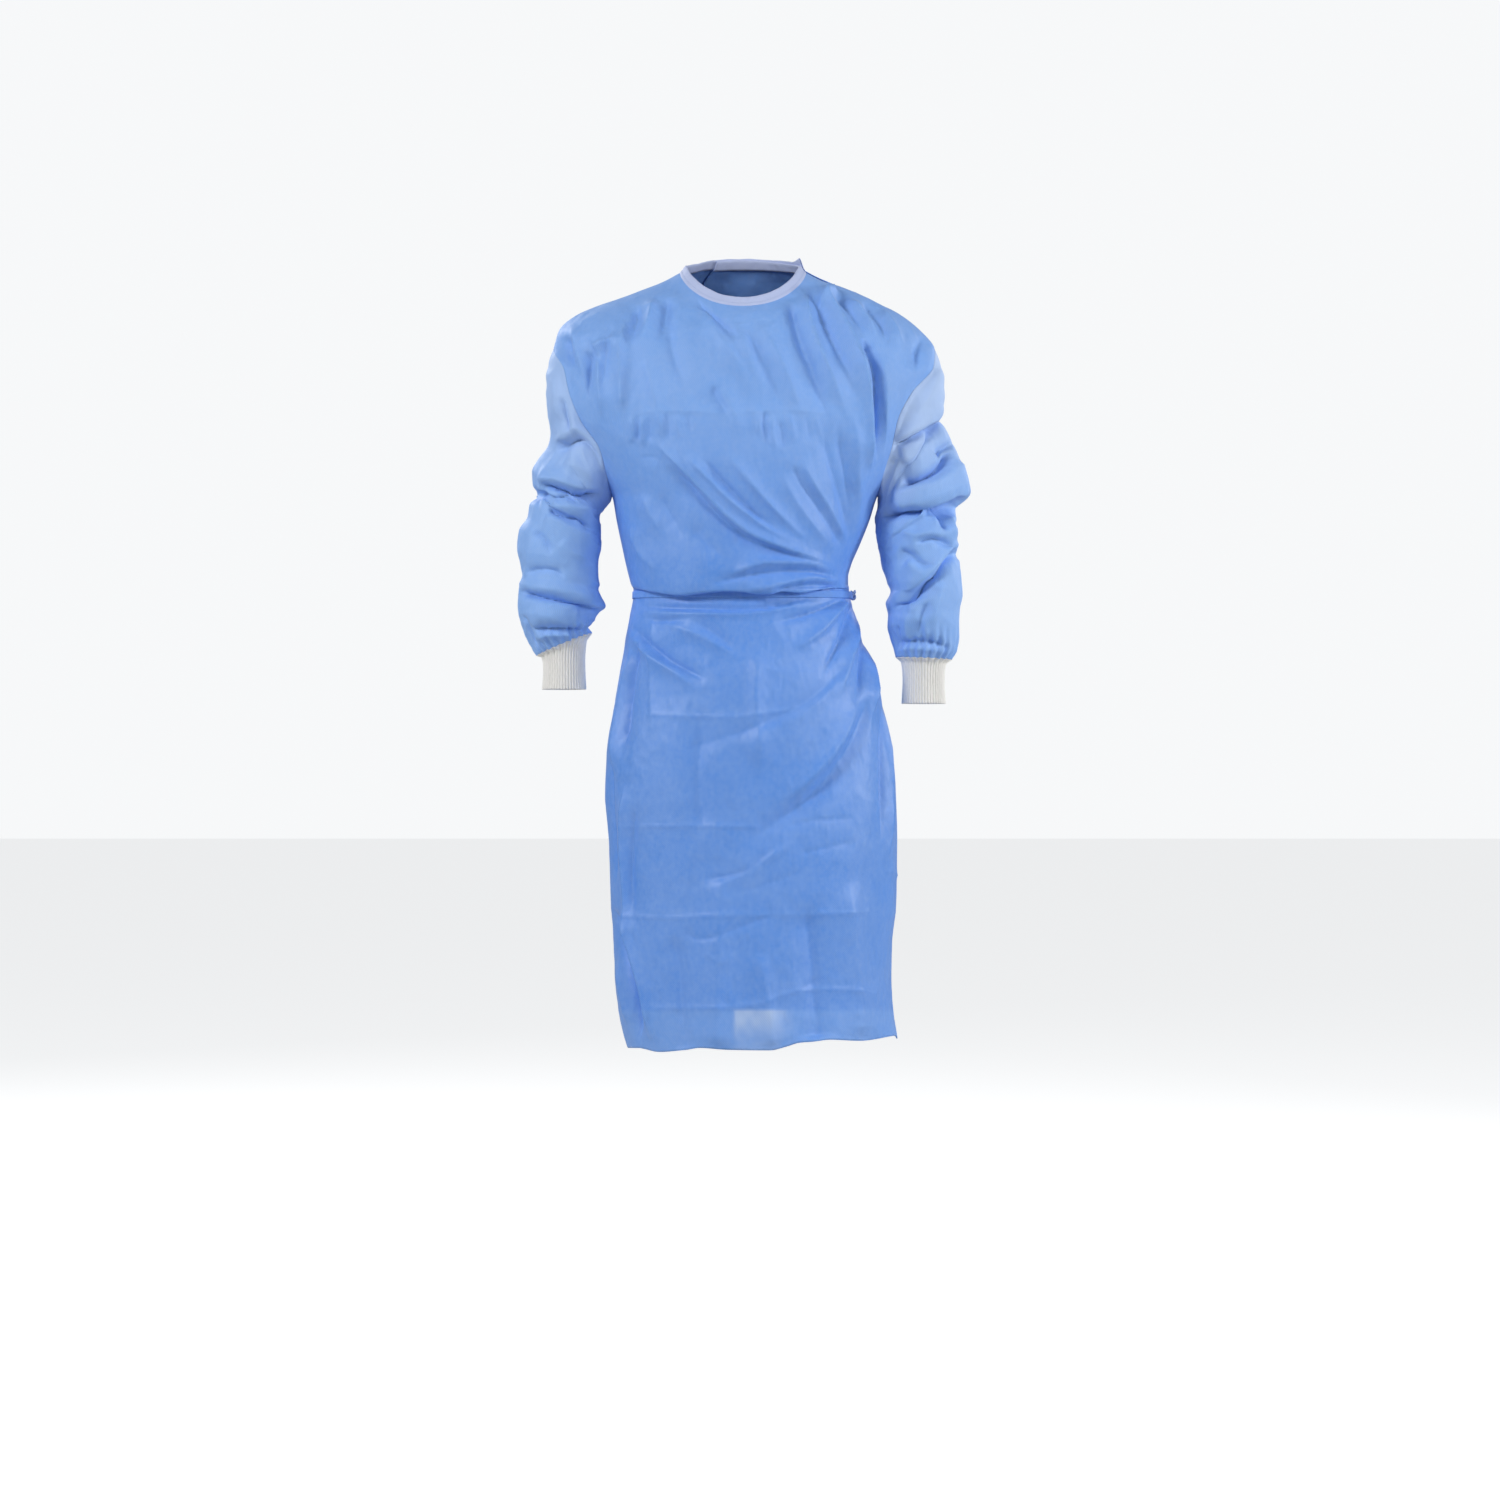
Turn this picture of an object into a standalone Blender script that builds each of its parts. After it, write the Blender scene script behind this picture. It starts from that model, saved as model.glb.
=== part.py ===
"""A surgical gown in its worn, hollow form, built from the pieces that a maker cuts and sews.

The gown faces -Y and +Z is up. Its origin lies between the shoulders, on the line of the
shoulder seams. Every length in the tables and constants is in millimetres.
"""

from collections import namedtuple
import math

import bmesh
import bpy
import numpy as np

MM = 0.001
WALL = 1.5
SEAM_GAP = 0.4
SQUARENESS = 2.2
NECK_DIP_POWER = 1.3
SEAM_PULL = 3.0

FRONT_COLUMNS = 24
WRAP_SIDE_COLUMNS = 7
WRAP_EDGE_COLUMNS = 3
UNDER_COLUMNS = 10
SHOULDER_TIP_RING = 7
UNDERARM_RING = 13
BELT_TOP_RING = 21
BELT_BOTTOM_RING = 22

WRAP_STAND_OFF = 3.2
WRAP_RISE = (-0.62, -0.34)
UNDER_FREE_EDGE = -0.30
UNDER_STEP = (1 - UNDER_FREE_EDGE) / UNDER_COLUMNS
SHARED_STEPS = 6

BINDING_HEIGHT = 11.5
BINDING_THICK = 2.0
BINDING_PROUD = 0.25
BINDING_ROWS = (0.0, 0.55, 1.0)
BINDING_UPRIGHT = 0.4
BELT_THICK = 1.5
BELT_LIFT = 0.5
BELT_CLEAR_OF_EDGE = 8.0
KNOT_PLACE = 0.87
KNOT_HALF_SIZES = (7.0, 3.5, 8.0)
KNOT_WAIST = 0.25
KNOT_GAP = 0.4
KNOT_SEGMENTS = 12
KNOT_RINGS = 8
TIE_WIDTH = 10.0
TIE_THICK = 1.2

CUFF_WALL = 2.0
CUFF_TILT = 0.8
SLEEVE_GATHERS = 12
GATHER_DEPTH = 2.4
GATHER_ROWS = 3
ARMHOLE_BLEND_ROWS = 5

# One ring of the body for each row: the height and the places of its two sides, the places of
# the armhole seams, then the height and the depth of its middle in front and at the back.
BodyRing = namedtuple(
    "BodyRing", "side left right seam_left seam_right front_low front back_low back"
)
BODY = [
    BodyRing(4, -84, 84, -84, 84, -51, 80, 18, 62),
    BodyRing(-10, -110, 112, -110, 112, -59, 87, 6, 72),
    BodyRing(-21, -138, 145, -138, 145, -68, 94, -8, 82),
    BodyRing(-32, -167, 171, -167, 171, -78, 100, -23, 91),
    BodyRing(-42, -197, 191, -197, 191, -89, 106, -39, 99),
    BodyRing(-56, -229, 217, -229, 217, -101, 111, -56, 106),
    BodyRing(-75, -251, 241, -251, 241, -114, 116, -75, 112),
    BodyRing(-100, -259, 262, -259, 262, -130, 120, -97, 117),
    BodyRing(-125, -267, 269, -243, 259, -152, 123, -125, 121),
    BodyRing(-158, -264, 260, -235, 228, -184, 127, -158, 124),
    BodyRing(-197, -248, 243, -219, 208, -220, 131, -197, 124),
    BodyRing(-238, -220, 225, -193, 200, -257, 132, -238, 122),
    BodyRing(-274, -196, 205, -185, 190, -290, 131, -274, 119),
    BodyRing(-304, -179, 184, -179, 184, -318, 129, -304, 115),
    BodyRing(-337, -173, 173, -173, 173, -346, 127, -337, 108),
    BodyRing(-370, -166, 160, -166, 160, -376, 126, -370, 101),
    BodyRing(-398, -160, 148, -160, 148, -404, 126, -398, 95),
    BodyRing(-414, -156, 144, -156, 144, -424, 125.5, -414, 91.5),
    BodyRing(-424, -153, 144, -153, 144, -442, 121, -424, 89),
    BodyRing(-428, -151, 145, -151, 145, -438, 113, -428, 88),
    BodyRing(-431, -150, 145, -150, 145, -433.5, 107, -431, 87),
    BodyRing(-434, -150, 145.5, -150, 145.5, -436.5, 106.5, -434, 87),
    BodyRing(-444, -150.5, 147, -150.5, 147, -447, 106.5, -444, 88),
    BodyRing(-454, -152, 150, -152, 150, -458, 109, -454, 91),
    BodyRing(-490, -159, 160, -159, 160, -493, 114, -490, 103),
    BodyRing(-534, -166, 178, -166, 178, -536, 120.5, -534, 117),
    BodyRing(-582, -173, 191, -173, 191, -583, 127, -582, 127),
    BodyRing(-640, -184, 202, -184, 202, -640, 132, -640, 133),
    BodyRing(-705, -189, 208, -189, 208, -705, 135, -705, 134),
    BodyRing(-775, -184, 211, -184, 211, -775, 136, -775, 132),
    BodyRing(-849, -181, 210, -181, 210, -849, 137, -849, 130),
    BodyRing(-915, -177, 204, -177, 204, -915, 138.5, -915, 128.5),
    BodyRing(-965, -174, 203, -174, 203, -965, 140, -965, 128),
    BodyRing(-1013, -168, 206, -168, 206, -1013, 142, -1013, 128),
    BodyRing(-1046, -160, 211, -160, 211, -1051, 143, -1047, 128),
]

# One ring of a sleeve for each row, at the crest or the valley of a fold: the height and the
# place of its outer side and of its inner side, and half its depth from front to back.
SleeveRing = namedtuple("SleeveRing", "outer_low outer inner_low inner depth")
SLEEVE_RIGHT = [
    SleeveRing(-100, -259, -304, -179, 64),
    SleeveRing(-120, -266, -309, -181, 65),
    SleeveRing(-142, -267, -314, -185, 65),
    SleeveRing(-165, -266, -320, -190, 64),
    SleeveRing(-190, -264.5, -326, -194, 62),
    SleeveRing(-214, -262, -332, -196.5, 59),
    SleeveRing(-233, -266, -338, -197, 59),
    SleeveRing(-251, -279, -345, -196, 61),
    SleeveRing(-270, -289, -352, -196, 61),
    SleeveRing(-288, -288, -359, -197, 59),
    SleeveRing(-302, -279, -367, -196, 54),
    SleeveRing(-314, -292, -375, -196, 56),
    SleeveRing(-332, -295, -384, -198, 58),
    SleeveRing(-351, -306, -394, -199, 59),
    SleeveRing(-376, -308, -405, -199, 59),
    SleeveRing(-400, -303, -418, -200, 57),
    SleeveRing(-416, -300, -430, -201, 53),
    SleeveRing(-434, -305, -442, -195, 57),
    SleeveRing(-453, -307, -453, -189, 60),
    SleeveRing(-472, -305, -464, -197, 57),
    SleeveRing(-491, -299, -474, -206, 48),
    SleeveRing(-508, -291, -483, -208, 41),
    SleeveRing(-521, -281, -491, -209, 35),
]
SLEEVE_LEFT = [
    SleeveRing(-100, 262, -304, 184, 64),
    SleeveRing(-120, 270, -309, 185, 65),
    SleeveRing(-143, 274, -315, 185, 65),
    SleeveRing(-166, 275, -321, 184, 63),
    SleeveRing(-184, 272, -327, 183, 60),
    SleeveRing(-197, 264, -333, 182, 57),
    SleeveRing(-212, 277, -339, 182, 60),
    SleeveRing(-234, 289, -345, 182, 63),
    SleeveRing(-260, 300, -352, 182, 64),
    SleeveRing(-282, 308, -359, 183, 63),
    SleeveRing(-297, 311, -366, 184, 61),
    SleeveRing(-307, 298, -373, 186, 55),
    SleeveRing(-318, 289, -381, 188, 54),
    SleeveRing(-346, 295, -390, 190, 57),
    SleeveRing(-371, 290, -400, 192, 54),
    SleeveRing(-393, 295, -411, 195, 56),
    SleeveRing(-416, 300, -423, 200, 57),
    SleeveRing(-438, 301, -435, 204, 54),
    SleeveRing(-458, 297, -450, 196, 57),
    SleeveRing(-476, 296, -466, 200, 57),
    SleeveRing(-494, 296, -483, 200, 51),
    SleeveRing(-512, 293, -504, 206, 42),
    SleeveRing(-527, 285, -524, 210, 36),
]

# A cuff's rings: how far each lies below the sleeve's end, and half its width and depth.
CuffRing = namedtuple("CuffRing", "drop half_width half_depth")
CUFF = [CuffRing(7, 30, 28.5), CuffRing(30, 28, 26.5), CuffRing(62, 29.5, 27)]

# The free edge of the outer back panel: its height and its place round the back,
# from -1 at the wearer's right side seam to 1 at the left one.
FreeEdge = namedtuple("FreeEdge", "height place")
WRAP_EDGE = [
    FreeEdge(20, 0.87),
    FreeEdge(-60, 0.70),
    FreeEdge(-160, 0.62),
    FreeEdge(-300, 0.62),
    FreeEdge(-440, 0.72),
    FreeEdge(-700, 0.66),
    FreeEdge(-1060, 0.60),
]

# How many degrees round the body the columns spread on each side, for the rings named first.
COLUMN_SPREAD = [(0, 88), (8.5, 67), (11, 67), (15, 87), (34, 88)]

# The tied ends: for each its places round the back at its top and its tip, the rows of the
# body's table between which it hangs, and its lift off the body's smooth surface, which the
# cloth's flat faces lie a little inside of.
TieEnd = namedtuple("TieEnd", "name place_top place_tip ring_top ring_tip lift")
TIE_ENDS = [
    TieEnd("belt_end_long", 0.90, 0.885, 22.65, 26.2, 0.6),
    TieEnd("belt_end_short", 0.815, 0.79, 22.65, 25.3, -0.1),
]
TIE_STEPS = 7
# How far to the side, as a share of the back's half width, its direction is read.
BESIDE = 0.01

# The largest folds, as straight runs seen from the front: where each starts and ends, how
# far it spreads to its left and right side, and how far it stands out, or in where negative.
# A fold starts sharply and dies away slowly towards its end.
Fold = namedtuple("Fold", "x0 z0 x1 z1 spread_left spread_right rise")
FOLD_START = 0.10
FOLD_END = 0.45
SEAM_HOLD = 0.12
FOLD_WAY = (0.5, 1, 0)
FOLD_TURN = 1.6
FRONT_FOLDS = [
    Fold(-206, -96, -190, -240, 15, 12, 8),
    Fold(180, -92, 176, -330, 14, 13, -15),
    Fold(148, -96, 156, -330, 15, 14, 8),
    Fold(75, -60, 130, -250, 18, 16, 6),
    Fold(95, -58, 100, -220, 14, 14, -5),
    Fold(140, -420, -160, -205, 15, 20, 8),
    Fold(142, -418, 20, -340, 14, 14, -6),
    Fold(142, -416, 55, -240, 14, 14, -8),
    Fold(144, -412, 110, -230, 14, 14, 6),
    Fold(-158, -462, -60, -565, 12, 16, 7),
    Fold(176, -470, 10, -760, 22, 26, -8),
    Fold(166, -452, 184, -800, 13, 14, -10),
    Fold(146, -450, 158, -740, 13, 13, 7),
    Fold(120, -450, 60, -600, 16, 16, 5),
    Fold(-170, -640, -168, -900, 12, 14, -8),
    Fold(-150, -1080, -162, -880, 16, 12, -13),
    Fold(-20, -1080, -30, -600, 45, 45, 5),
    Fold(96, -1080, 80, -760, 40, 40, 6),
    Fold(-92, -1080, -80, -820, 34, 34, -6),
]
BACK_FOLDS = [
    Fold(-112, -434, -118, -250, 16, 16, 8),
    Fold(-72, -434, -84, -270, 16, 16, -8),
    Fold(-30, -434, -36, -240, 18, 18, 9),
    Fold(12, -434, 12, -280, 16, 16, -8),
    Fold(56, -434, 72, -240, 17, 17, 8),
    Fold(-118, -444, -140, -720, 17, 17, 9),
    Fold(-78, -444, -94, -640, 16, 16, -9),
    Fold(-38, -444, -50, -820, 20, 20, 10),
    Fold(4, -444, 2, -660, 17, 17, -9),
    Fold(48, -444, 62, -800, 19, 19, 9),
    Fold(88, -444, 112, -640, 16, 16, -7),
    Fold(-60, -40, -150, -220, 24, 24, 6),
    Fold(50, -40, 140, -220, 24, 24, 6),
    Fold(-104, -1070, -96, -740, 28, 28, -8),
    Fold(-40, -1070, -30, -780, 26, 26, 7),
    Fold(26, -1070, 24, -800, 28, 28, -8),
    Fold(84, -1070, 80, -760, 26, 26, 7),
]
SLEEVE_RIGHT_FOLDS = [
    Fold(-263, -236, -222, -206, 11, 11, -6),
    Fold(-274, -284, -190, -309, 10, 12, -9),
    Fold(-250, -313, -190, -333, 9, 11, -6),
    Fold(-300, -366, -224, -392, 16, 14, 5),
    Fold(-190, -448, -300, -424, 12, 10, 7),
    Fold(-192, -466, -290, -440, 10, 10, -8),
]
SLEEVE_LEFT_FOLDS = [
    Fold(204, -224, 276, -194, 10, 10, -7),
    Fold(206, -276, 296, -250, 16, 12, 8),
    Fold(190, -326, 306, -306, 11, 11, -10),
    Fold(206, -352, 276, -372, 14, 12, 5),
    Fold(194, -452, 306, -384, 12, 12, 7),
    Fold(192, -476, 300, -402, 11, 11, -8),
]
BEHIND_DROP = 26.0

CLOTH_BLUE = (0.160, 0.345, 0.745)
SLEEVE_BLUE = (0.235, 0.415, 0.760)
BINDING_WHITE = (0.55, 0.62, 0.76)
KNIT_WHITE = (0.86, 0.85, 0.82)
CLOTH_ROUGHNESS = 0.55
KNIT_ROUGHNESS = 0.9
SHARP_DEGREES = 50


def smooth_curve(stops, values, at):
    """Values at the given places, on a smooth curve that never swings past its stops."""
    stops, values, at = (np.asarray(a, float) for a in (stops, values, at))
    step = np.diff(stops)
    slope = np.diff(values) / step
    tangent = np.zeros_like(values)
    rising = slope[:-1] * slope[1:] > 0
    first = 2 * step[1:] + step[:-1]
    second = step[1:] + 2 * step[:-1]
    before = np.where(rising, slope[:-1], 1)
    after = np.where(rising, slope[1:], 1)
    mean = (first + second) / (first / before + second / after)
    tangent[1:-1] = np.where(rising, mean, 0)
    tangent[0], tangent[-1] = slope[0], slope[-1]
    k = np.clip(np.searchsorted(stops, at) - 1, 0, len(step) - 1)
    t = np.clip((at - stops[k]) / step[k], 0, 1)
    start = (1 + 2 * t) * (1 - t) ** 2 * values[k] + t**2 * (3 - 2 * t) * values[k + 1]
    bend = t * (1 - t) ** 2 * tangent[k] - t**2 * (1 - t) * tangent[k + 1]
    return start + bend * step[k]


def rings_at(table, places):
    """The table's columns read at any place between its rows, as one named tuple of arrays."""
    rows = np.arange(len(table))
    columns = [smooth_curve(rows, column, places) for column in zip(*table)]
    return type(table[0])(*columns)


def ease(value):
    t = np.clip(value, 0, 1)
    return t * t * (3 - 2 * t)


def signed_power(value, power):
    return np.sign(value) * np.abs(value) ** power


def body_surface(rows, across, front):
    """Points of the body's front or back, for each row and each place across from -1 to 1."""
    ring = rings_at(BODY, rows)
    middle = (ring.left + ring.right) / 2
    half = (ring.right - ring.left) / 2
    seam = np.where(across < 0, middle - ring.seam_left, ring.seam_right - middle)
    reach = np.arcsin(np.clip(seam / half, 0, 1) ** (SQUARENESS / 2))
    spread = np.radians(smooth_curve(*zip(*COLUMN_SPREAD), rows))
    angle = spread * across + (reach - spread) * signed_power(across, SEAM_PULL)
    power = 2 / SQUARENESS
    inward = np.abs(np.cos(angle))
    low, depth = (ring.front_low, -ring.front) if front else (ring.back_low, ring.back)
    x = middle + half * signed_power(np.sin(angle), power)
    y = depth * inward**power
    z = ring.side + (low - ring.side) * inward**NECK_DIP_POWER
    return np.stack([x, y, z], axis=-1)


def fold_relief(points, folds):
    """How far the folds push each point out, from its place as seen from the front."""
    x, z = points[..., 0], points[..., 2]
    out = np.zeros_like(x)
    for fold in folds:
        along = np.array([fold.x1 - fold.x0, fold.z1 - fold.z0], float)
        length = np.hypot(*along)
        along /= length
        run = ((x - fold.x0) * along[0] + (z - fold.z0) * along[1]) / length
        side = (z - fold.z0) * along[0] - (x - fold.x0) * along[1]
        spread = np.where(side > 0, fold.spread_left, fold.spread_right)
        if fold.z1 < fold.z0:
            spread = np.where(side > 0, fold.spread_right, fold.spread_left)
        fade = ease(run / FOLD_START) * ease((1 - run) / FOLD_END)
        out += fold.rise * fade * np.exp(-((side / spread) ** 2))
    return out


def grid_normals(points, inside):
    """Outward unit normals of one grid's faces, spread on its corners as area-weighted sums."""
    across = points[1:, 1:] - points[:-1, :-1]
    down = points[1:, :-1] - points[:-1, 1:]
    face = np.cross(across, down)
    centre = (points[1:, 1:] + points[:-1, :-1]) / 2
    facing = np.sum(face * (centre - inside(centre)), axis=-1)
    if np.sum(np.sign(facing)) < 0:
        face = -face
    total = np.zeros_like(points)
    total[1:, 1:] += face
    total[:-1, :-1] += face
    total[1:, :-1] += face
    total[:-1, 1:] += face
    return total


def shared_normals(grids, insides):
    """Unit normals of several grids, the same on both sides of a seam where their points meet."""
    raw = {name: grid_normals(points, insides[name]) for name, points in grids.items()}
    sums = {}
    for name, points in grids.items():
        keys = np.round(points, 2).reshape(-1, 3)
        for key, normal in zip(map(tuple, keys + 0.0), raw[name].reshape(-1, 3)):
            sums[key] = sums.get(key, 0) + normal
    normals = {}
    for name, points in grids.items():
        keys = np.round(points, 2).reshape(-1, 3)
        found = np.array([sums[key] for key in map(tuple, keys + 0.0)])
        found /= np.linalg.norm(found, axis=1, keepdims=True)
        normals[name] = found.reshape(points.shape)
    return normals


def body_axis(points):
    return points * (0, 0, 1)


def trimmed(points, sides):
    """Offsets that draw the named sides of a grid back by half of the seam's gap."""
    move = np.zeros_like(points)
    steps = {
        "top": (np.s_[0, :], np.s_[1, :]),
        "bottom": (np.s_[-1, :], np.s_[-2, :]),
        "left": (np.s_[:, 0], np.s_[:, 1]),
        "right": (np.s_[:, -1], np.s_[:, -2]),
    }
    for side in sides:
        edge, next_to = steps[side]
        way = points[next_to] - points[edge]
        way /= np.linalg.norm(way, axis=-1, keepdims=True)
        move[edge] += way * SEAM_GAP / 2
    return move


def material(name, colour, roughness):
    made = bpy.data.materials.new(name)
    made.use_nodes = True
    shader = made.node_tree.nodes["Principled BSDF"]
    shader.inputs["Base Color"].default_value = (*colour, 1)
    shader.inputs["Roughness"].default_value = roughness
    shader.inputs["Metallic"].default_value = 0
    return made


def add_object(name, shape, finish):
    """Turns a closed bmesh, in millimetres, into a named object in metres."""
    bmesh.ops.recalc_face_normals(shape, faces=shape.faces)
    bmesh.ops.scale(shape, vec=(MM, MM, MM), verts=shape.verts)
    mesh = bpy.data.meshes.new(name)
    shape.to_mesh(mesh)
    shape.free()
    mesh.shade_smooth()
    mesh.set_sharp_from_angle(angle=math.radians(SHARP_DEGREES))
    mesh.materials.append(finish)
    made = bpy.data.objects.new(name, mesh)
    bpy.context.scene.collection.objects.link(made)
    return made


def add_wall(name, outer, inner, finish, closed=False):
    """A closed wall between two grids of points, one row and column for each pair.

    A closed wall's last column is its first one again, so the two are welded.
    """
    rows, columns = outer.shape[:2]
    shape = bmesh.new()
    number = shape.verts.layers.int.new("number")
    bmesh.ops.create_grid(shape, x_segments=columns - 1, y_segments=rows - 1, size=0.5)
    ordered = sorted(shape.verts, key=lambda v: (round(v.co.y, 4), round(v.co.x, 4)))
    for index, vert in enumerate(ordered):
        vert[number] = index
        vert.co = inner.reshape(-1, 3)[index]
    if closed:
        bmesh.ops.remove_doubles(shape, verts=shape.verts, dist=1e-4)
    grown = bmesh.ops.extrude_face_region(shape, geom=shape.faces[:], use_keep_orig=True)
    for vert in grown["geom"]:
        if isinstance(vert, bmesh.types.BMVert):
            vert.co = outer.reshape(-1, 3)[vert[number]]
    return add_object(name, shape, finish)


def body_rows():
    """Places down the body's table: each ring, and the halves between those of the armhole."""
    top = np.arange(0, SHOULDER_TIP_RING)
    armhole = np.arange(SHOULDER_TIP_RING, UNDERARM_RING, 0.5)
    below = np.arange(UNDERARM_RING, len(BODY))
    return np.concatenate([top, armhole, below]).astype(float)


def row_of(ring):
    """The number of a panel's row that lies on the given ring, from the shoulder tip down."""
    return ring + min(ring, UNDERARM_RING) - SHOULDER_TIP_RING


def front_points():
    rows, across = np.meshgrid(
        body_rows(), np.linspace(-1, 1, FRONT_COLUMNS + 1), indexing="ij"
    )
    points = body_surface(rows, across, front=True)
    return pushed_out(points, across, FRONT_FOLDS)


def pushed_out(points, across, folds):
    """The points moved away from the body's axis by their folds, but not at their side seams."""
    hold = ease((1 - np.abs(across)) / SEAM_HOLD)
    way = points * FOLD_WAY
    way /= np.maximum(np.linalg.norm(way, axis=-1, keepdims=True), 1e-6)
    return points + way * (fold_relief(points, folds) * hold)[..., None]


def back_points(across, stand_off):
    """One back panel, for the places across its rows, lifted off its neighbour along its normals."""
    rows = body_rows()[:, None] + np.zeros(across.shape[1])
    points = pushed_out(body_surface(rows, across, front=False), across, BACK_FOLDS)
    out = grid_normals(points, body_axis)
    out /= np.linalg.norm(out, axis=-1, keepdims=True)
    return points + out * stand_off(across)[..., None]


def wrap_stand_off(across):
    start, end = WRAP_RISE
    return WRAP_STAND_OFF * ease((across - start) / (end - start))


def no_stand_off(across):
    return np.zeros_like(across)


def wrap_points():
    """The outer back panel. Over the inner one its columns follow that panel's columns."""
    heights = rings_at(BODY, body_rows()).back_low
    stops = [-edge.height for edge in WRAP_EDGE]
    free = smooth_curve(stops, [edge.place for edge in WRAP_EDGE], -heights)
    side = np.linspace(-1, UNDER_FREE_EDGE, WRAP_SIDE_COLUMNS + 1)
    shared = UNDER_FREE_EDGE + UNDER_STEP * np.arange(1, SHARED_STEPS + 1)
    fixed = np.concatenate([side, shared]) + np.zeros((len(free), 1))
    share = np.arange(1, WRAP_EDGE_COLUMNS + 1) / WRAP_EDGE_COLUMNS
    to_edge = fixed[:, -1:] + (free[:, None] - fixed[:, -1:]) * share
    return back_points(np.concatenate([fixed, to_edge], axis=1), wrap_stand_off)


def under_points():
    places = np.linspace(UNDER_FREE_EDGE, 1, UNDER_COLUMNS + 1)
    return back_points(places + np.zeros((len(body_rows()), 1)), no_stand_off)


def armhole_loop(front, back, column):
    """The armhole's points from the shoulder tip down its front and up its back, closed."""
    tip, underarm = row_of(SHOULDER_TIP_RING), row_of(UNDERARM_RING)
    down = front[tip : underarm + 1, column]
    up = back[tip:underarm, column][::-1]
    return np.concatenate([down, up])


def sleeve_ring(table, row, turns):
    """Points round a sleeve at one row; a turn of 0 is its outer side and pi its inner side."""
    ring = rings_at(table, row)
    x = (ring.outer + ring.inner) / 2 + (ring.outer - ring.inner) / 2 * np.cos(turns)
    y = -ring.depth * np.sin(turns)
    z = ring.outer_low + (ring.inner_low - ring.outer_low) * (1 - np.cos(turns)) / 2
    return np.stack([x, y, z + np.zeros_like(turns)], axis=-1)


def sleeve_relief(points, centre, folds):
    """Relief of the folds in front of the arm, and of like ones a little lower behind it."""
    facing = (centre[1] - points[:, 1]) / np.max(np.abs(points[:, 1] - centre[1]))
    behind = points + (0, 0, BEHIND_DROP)
    in_front = fold_relief(points, folds) * ease(facing * FOLD_TURN)
    return in_front + fold_relief(behind, folds) * ease(-facing * FOLD_TURN)


def sleeve_points(table, folds, loop):
    """A sleeve from its armhole loop down to its gathered end, its last column closing it."""
    count = len(loop) - 1
    turns = np.linspace(0, 2 * np.pi, count + 1)
    start = loop - sleeve_ring(table, 0, turns)
    rows = []
    last = len(table) - 1
    for row in range(last + 1):
        keep = max(0, 1 - row / ARMHOLE_BLEND_ROWS) ** 2
        points = sleeve_ring(table, row, turns) + start * keep
        gather = GATHER_DEPTH * ease((row - last + GATHER_ROWS) / 2)
        pleat = gather * np.cos(turns * SLEEVE_GATHERS)
        centre = points[:-1].mean(axis=0)
        way = (points - centre) * (1, 1, 0)
        way /= np.linalg.norm(way, axis=-1, keepdims=True)
        hold = ease(row / 2) * ease((last - row) / 2)
        relief = pleat + sleeve_relief(points, centre, folds) * hold
        rows.append(points + way * relief[:, None])
    grid = np.array(rows)
    grid[:, -1] = grid[:, 0]
    return grid


def cuff_points(sleeve):
    """A knitted cuff from the sleeve's gathered end down to the wrist."""
    top = sleeve[-1]
    centre = top[:-1].mean(axis=0)
    turns = np.linspace(0, 2 * np.pi, len(top))
    side = np.sign(top[0, 0] - centre[0])
    rows = [top]
    for ring in CUFF:
        share = ring.drop / CUFF[-1].drop
        x = centre[0] + side * ring.half_width * np.cos(turns)
        y = centre[1] - ring.half_depth * np.sin(turns)
        level = centre[2] - ring.drop
        z = level + (top[:, 2] - centre[2]) * (1 - share) * CUFF_TILT
        rows.append(np.stack([x, y, z + np.zeros_like(x)], axis=-1))
    grid = np.array(rows)
    grid[:, -1] = grid[:, 0]
    return grid


def tube_axis(points):
    """A point inside the tube for each of its face centres: the middle of its row."""
    return np.broadcast_to(points.mean(axis=1, keepdims=True), points.shape)


def build_panels():
    """Front, both backs, sleeves and cuffs, with their walls meeting face to face at seams."""
    front = front_points()
    wrap = wrap_points()
    under = under_points()
    grids = {"front": front, "back_wrap": wrap, "back_under": under}
    right_loop, left_loop = armhole_loop(front, wrap, 0), armhole_loop(front, under, -1)
    grids["sleeve_right"] = sleeve_points(SLEEVE_RIGHT, SLEEVE_RIGHT_FOLDS, right_loop)
    grids["sleeve_left"] = sleeve_points(SLEEVE_LEFT, SLEEVE_LEFT_FOLDS, left_loop)
    grids["cuff_right"] = cuff_points(grids["sleeve_right"])
    grids["cuff_left"] = cuff_points(grids["sleeve_left"])
    insides = {name: body_axis for name in ("front", "back_wrap", "back_under")}
    for name in ("sleeve_right", "sleeve_left", "cuff_right", "cuff_left"):
        insides[name] = tube_axis
    return grids, shared_normals(grids, insides)


SEWN_SIDES = {
    "front": ("top", "left", "right"),
    "back_wrap": ("top", "left"),
    "back_under": ("top", "right"),
    "sleeve_right": ("top", "bottom"),
    "sleeve_left": ("top", "bottom"),
    "cuff_right": ("top",),
    "cuff_left": ("top",),
}


def add_panels(grids, normals, finishes):
    for name, points in grids.items():
        move = trimmed(points, SEWN_SIDES[name])
        closed = name.startswith(("sleeve", "cuff"))
        if closed:
            move[:, -1] = move[:, 0]
        wall = CUFF_WALL if name.startswith("cuff") else WALL
        outer = points + move
        inner = outer - normals[name] * wall
        add_wall(name, outer, inner, finishes[name], closed)


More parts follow.
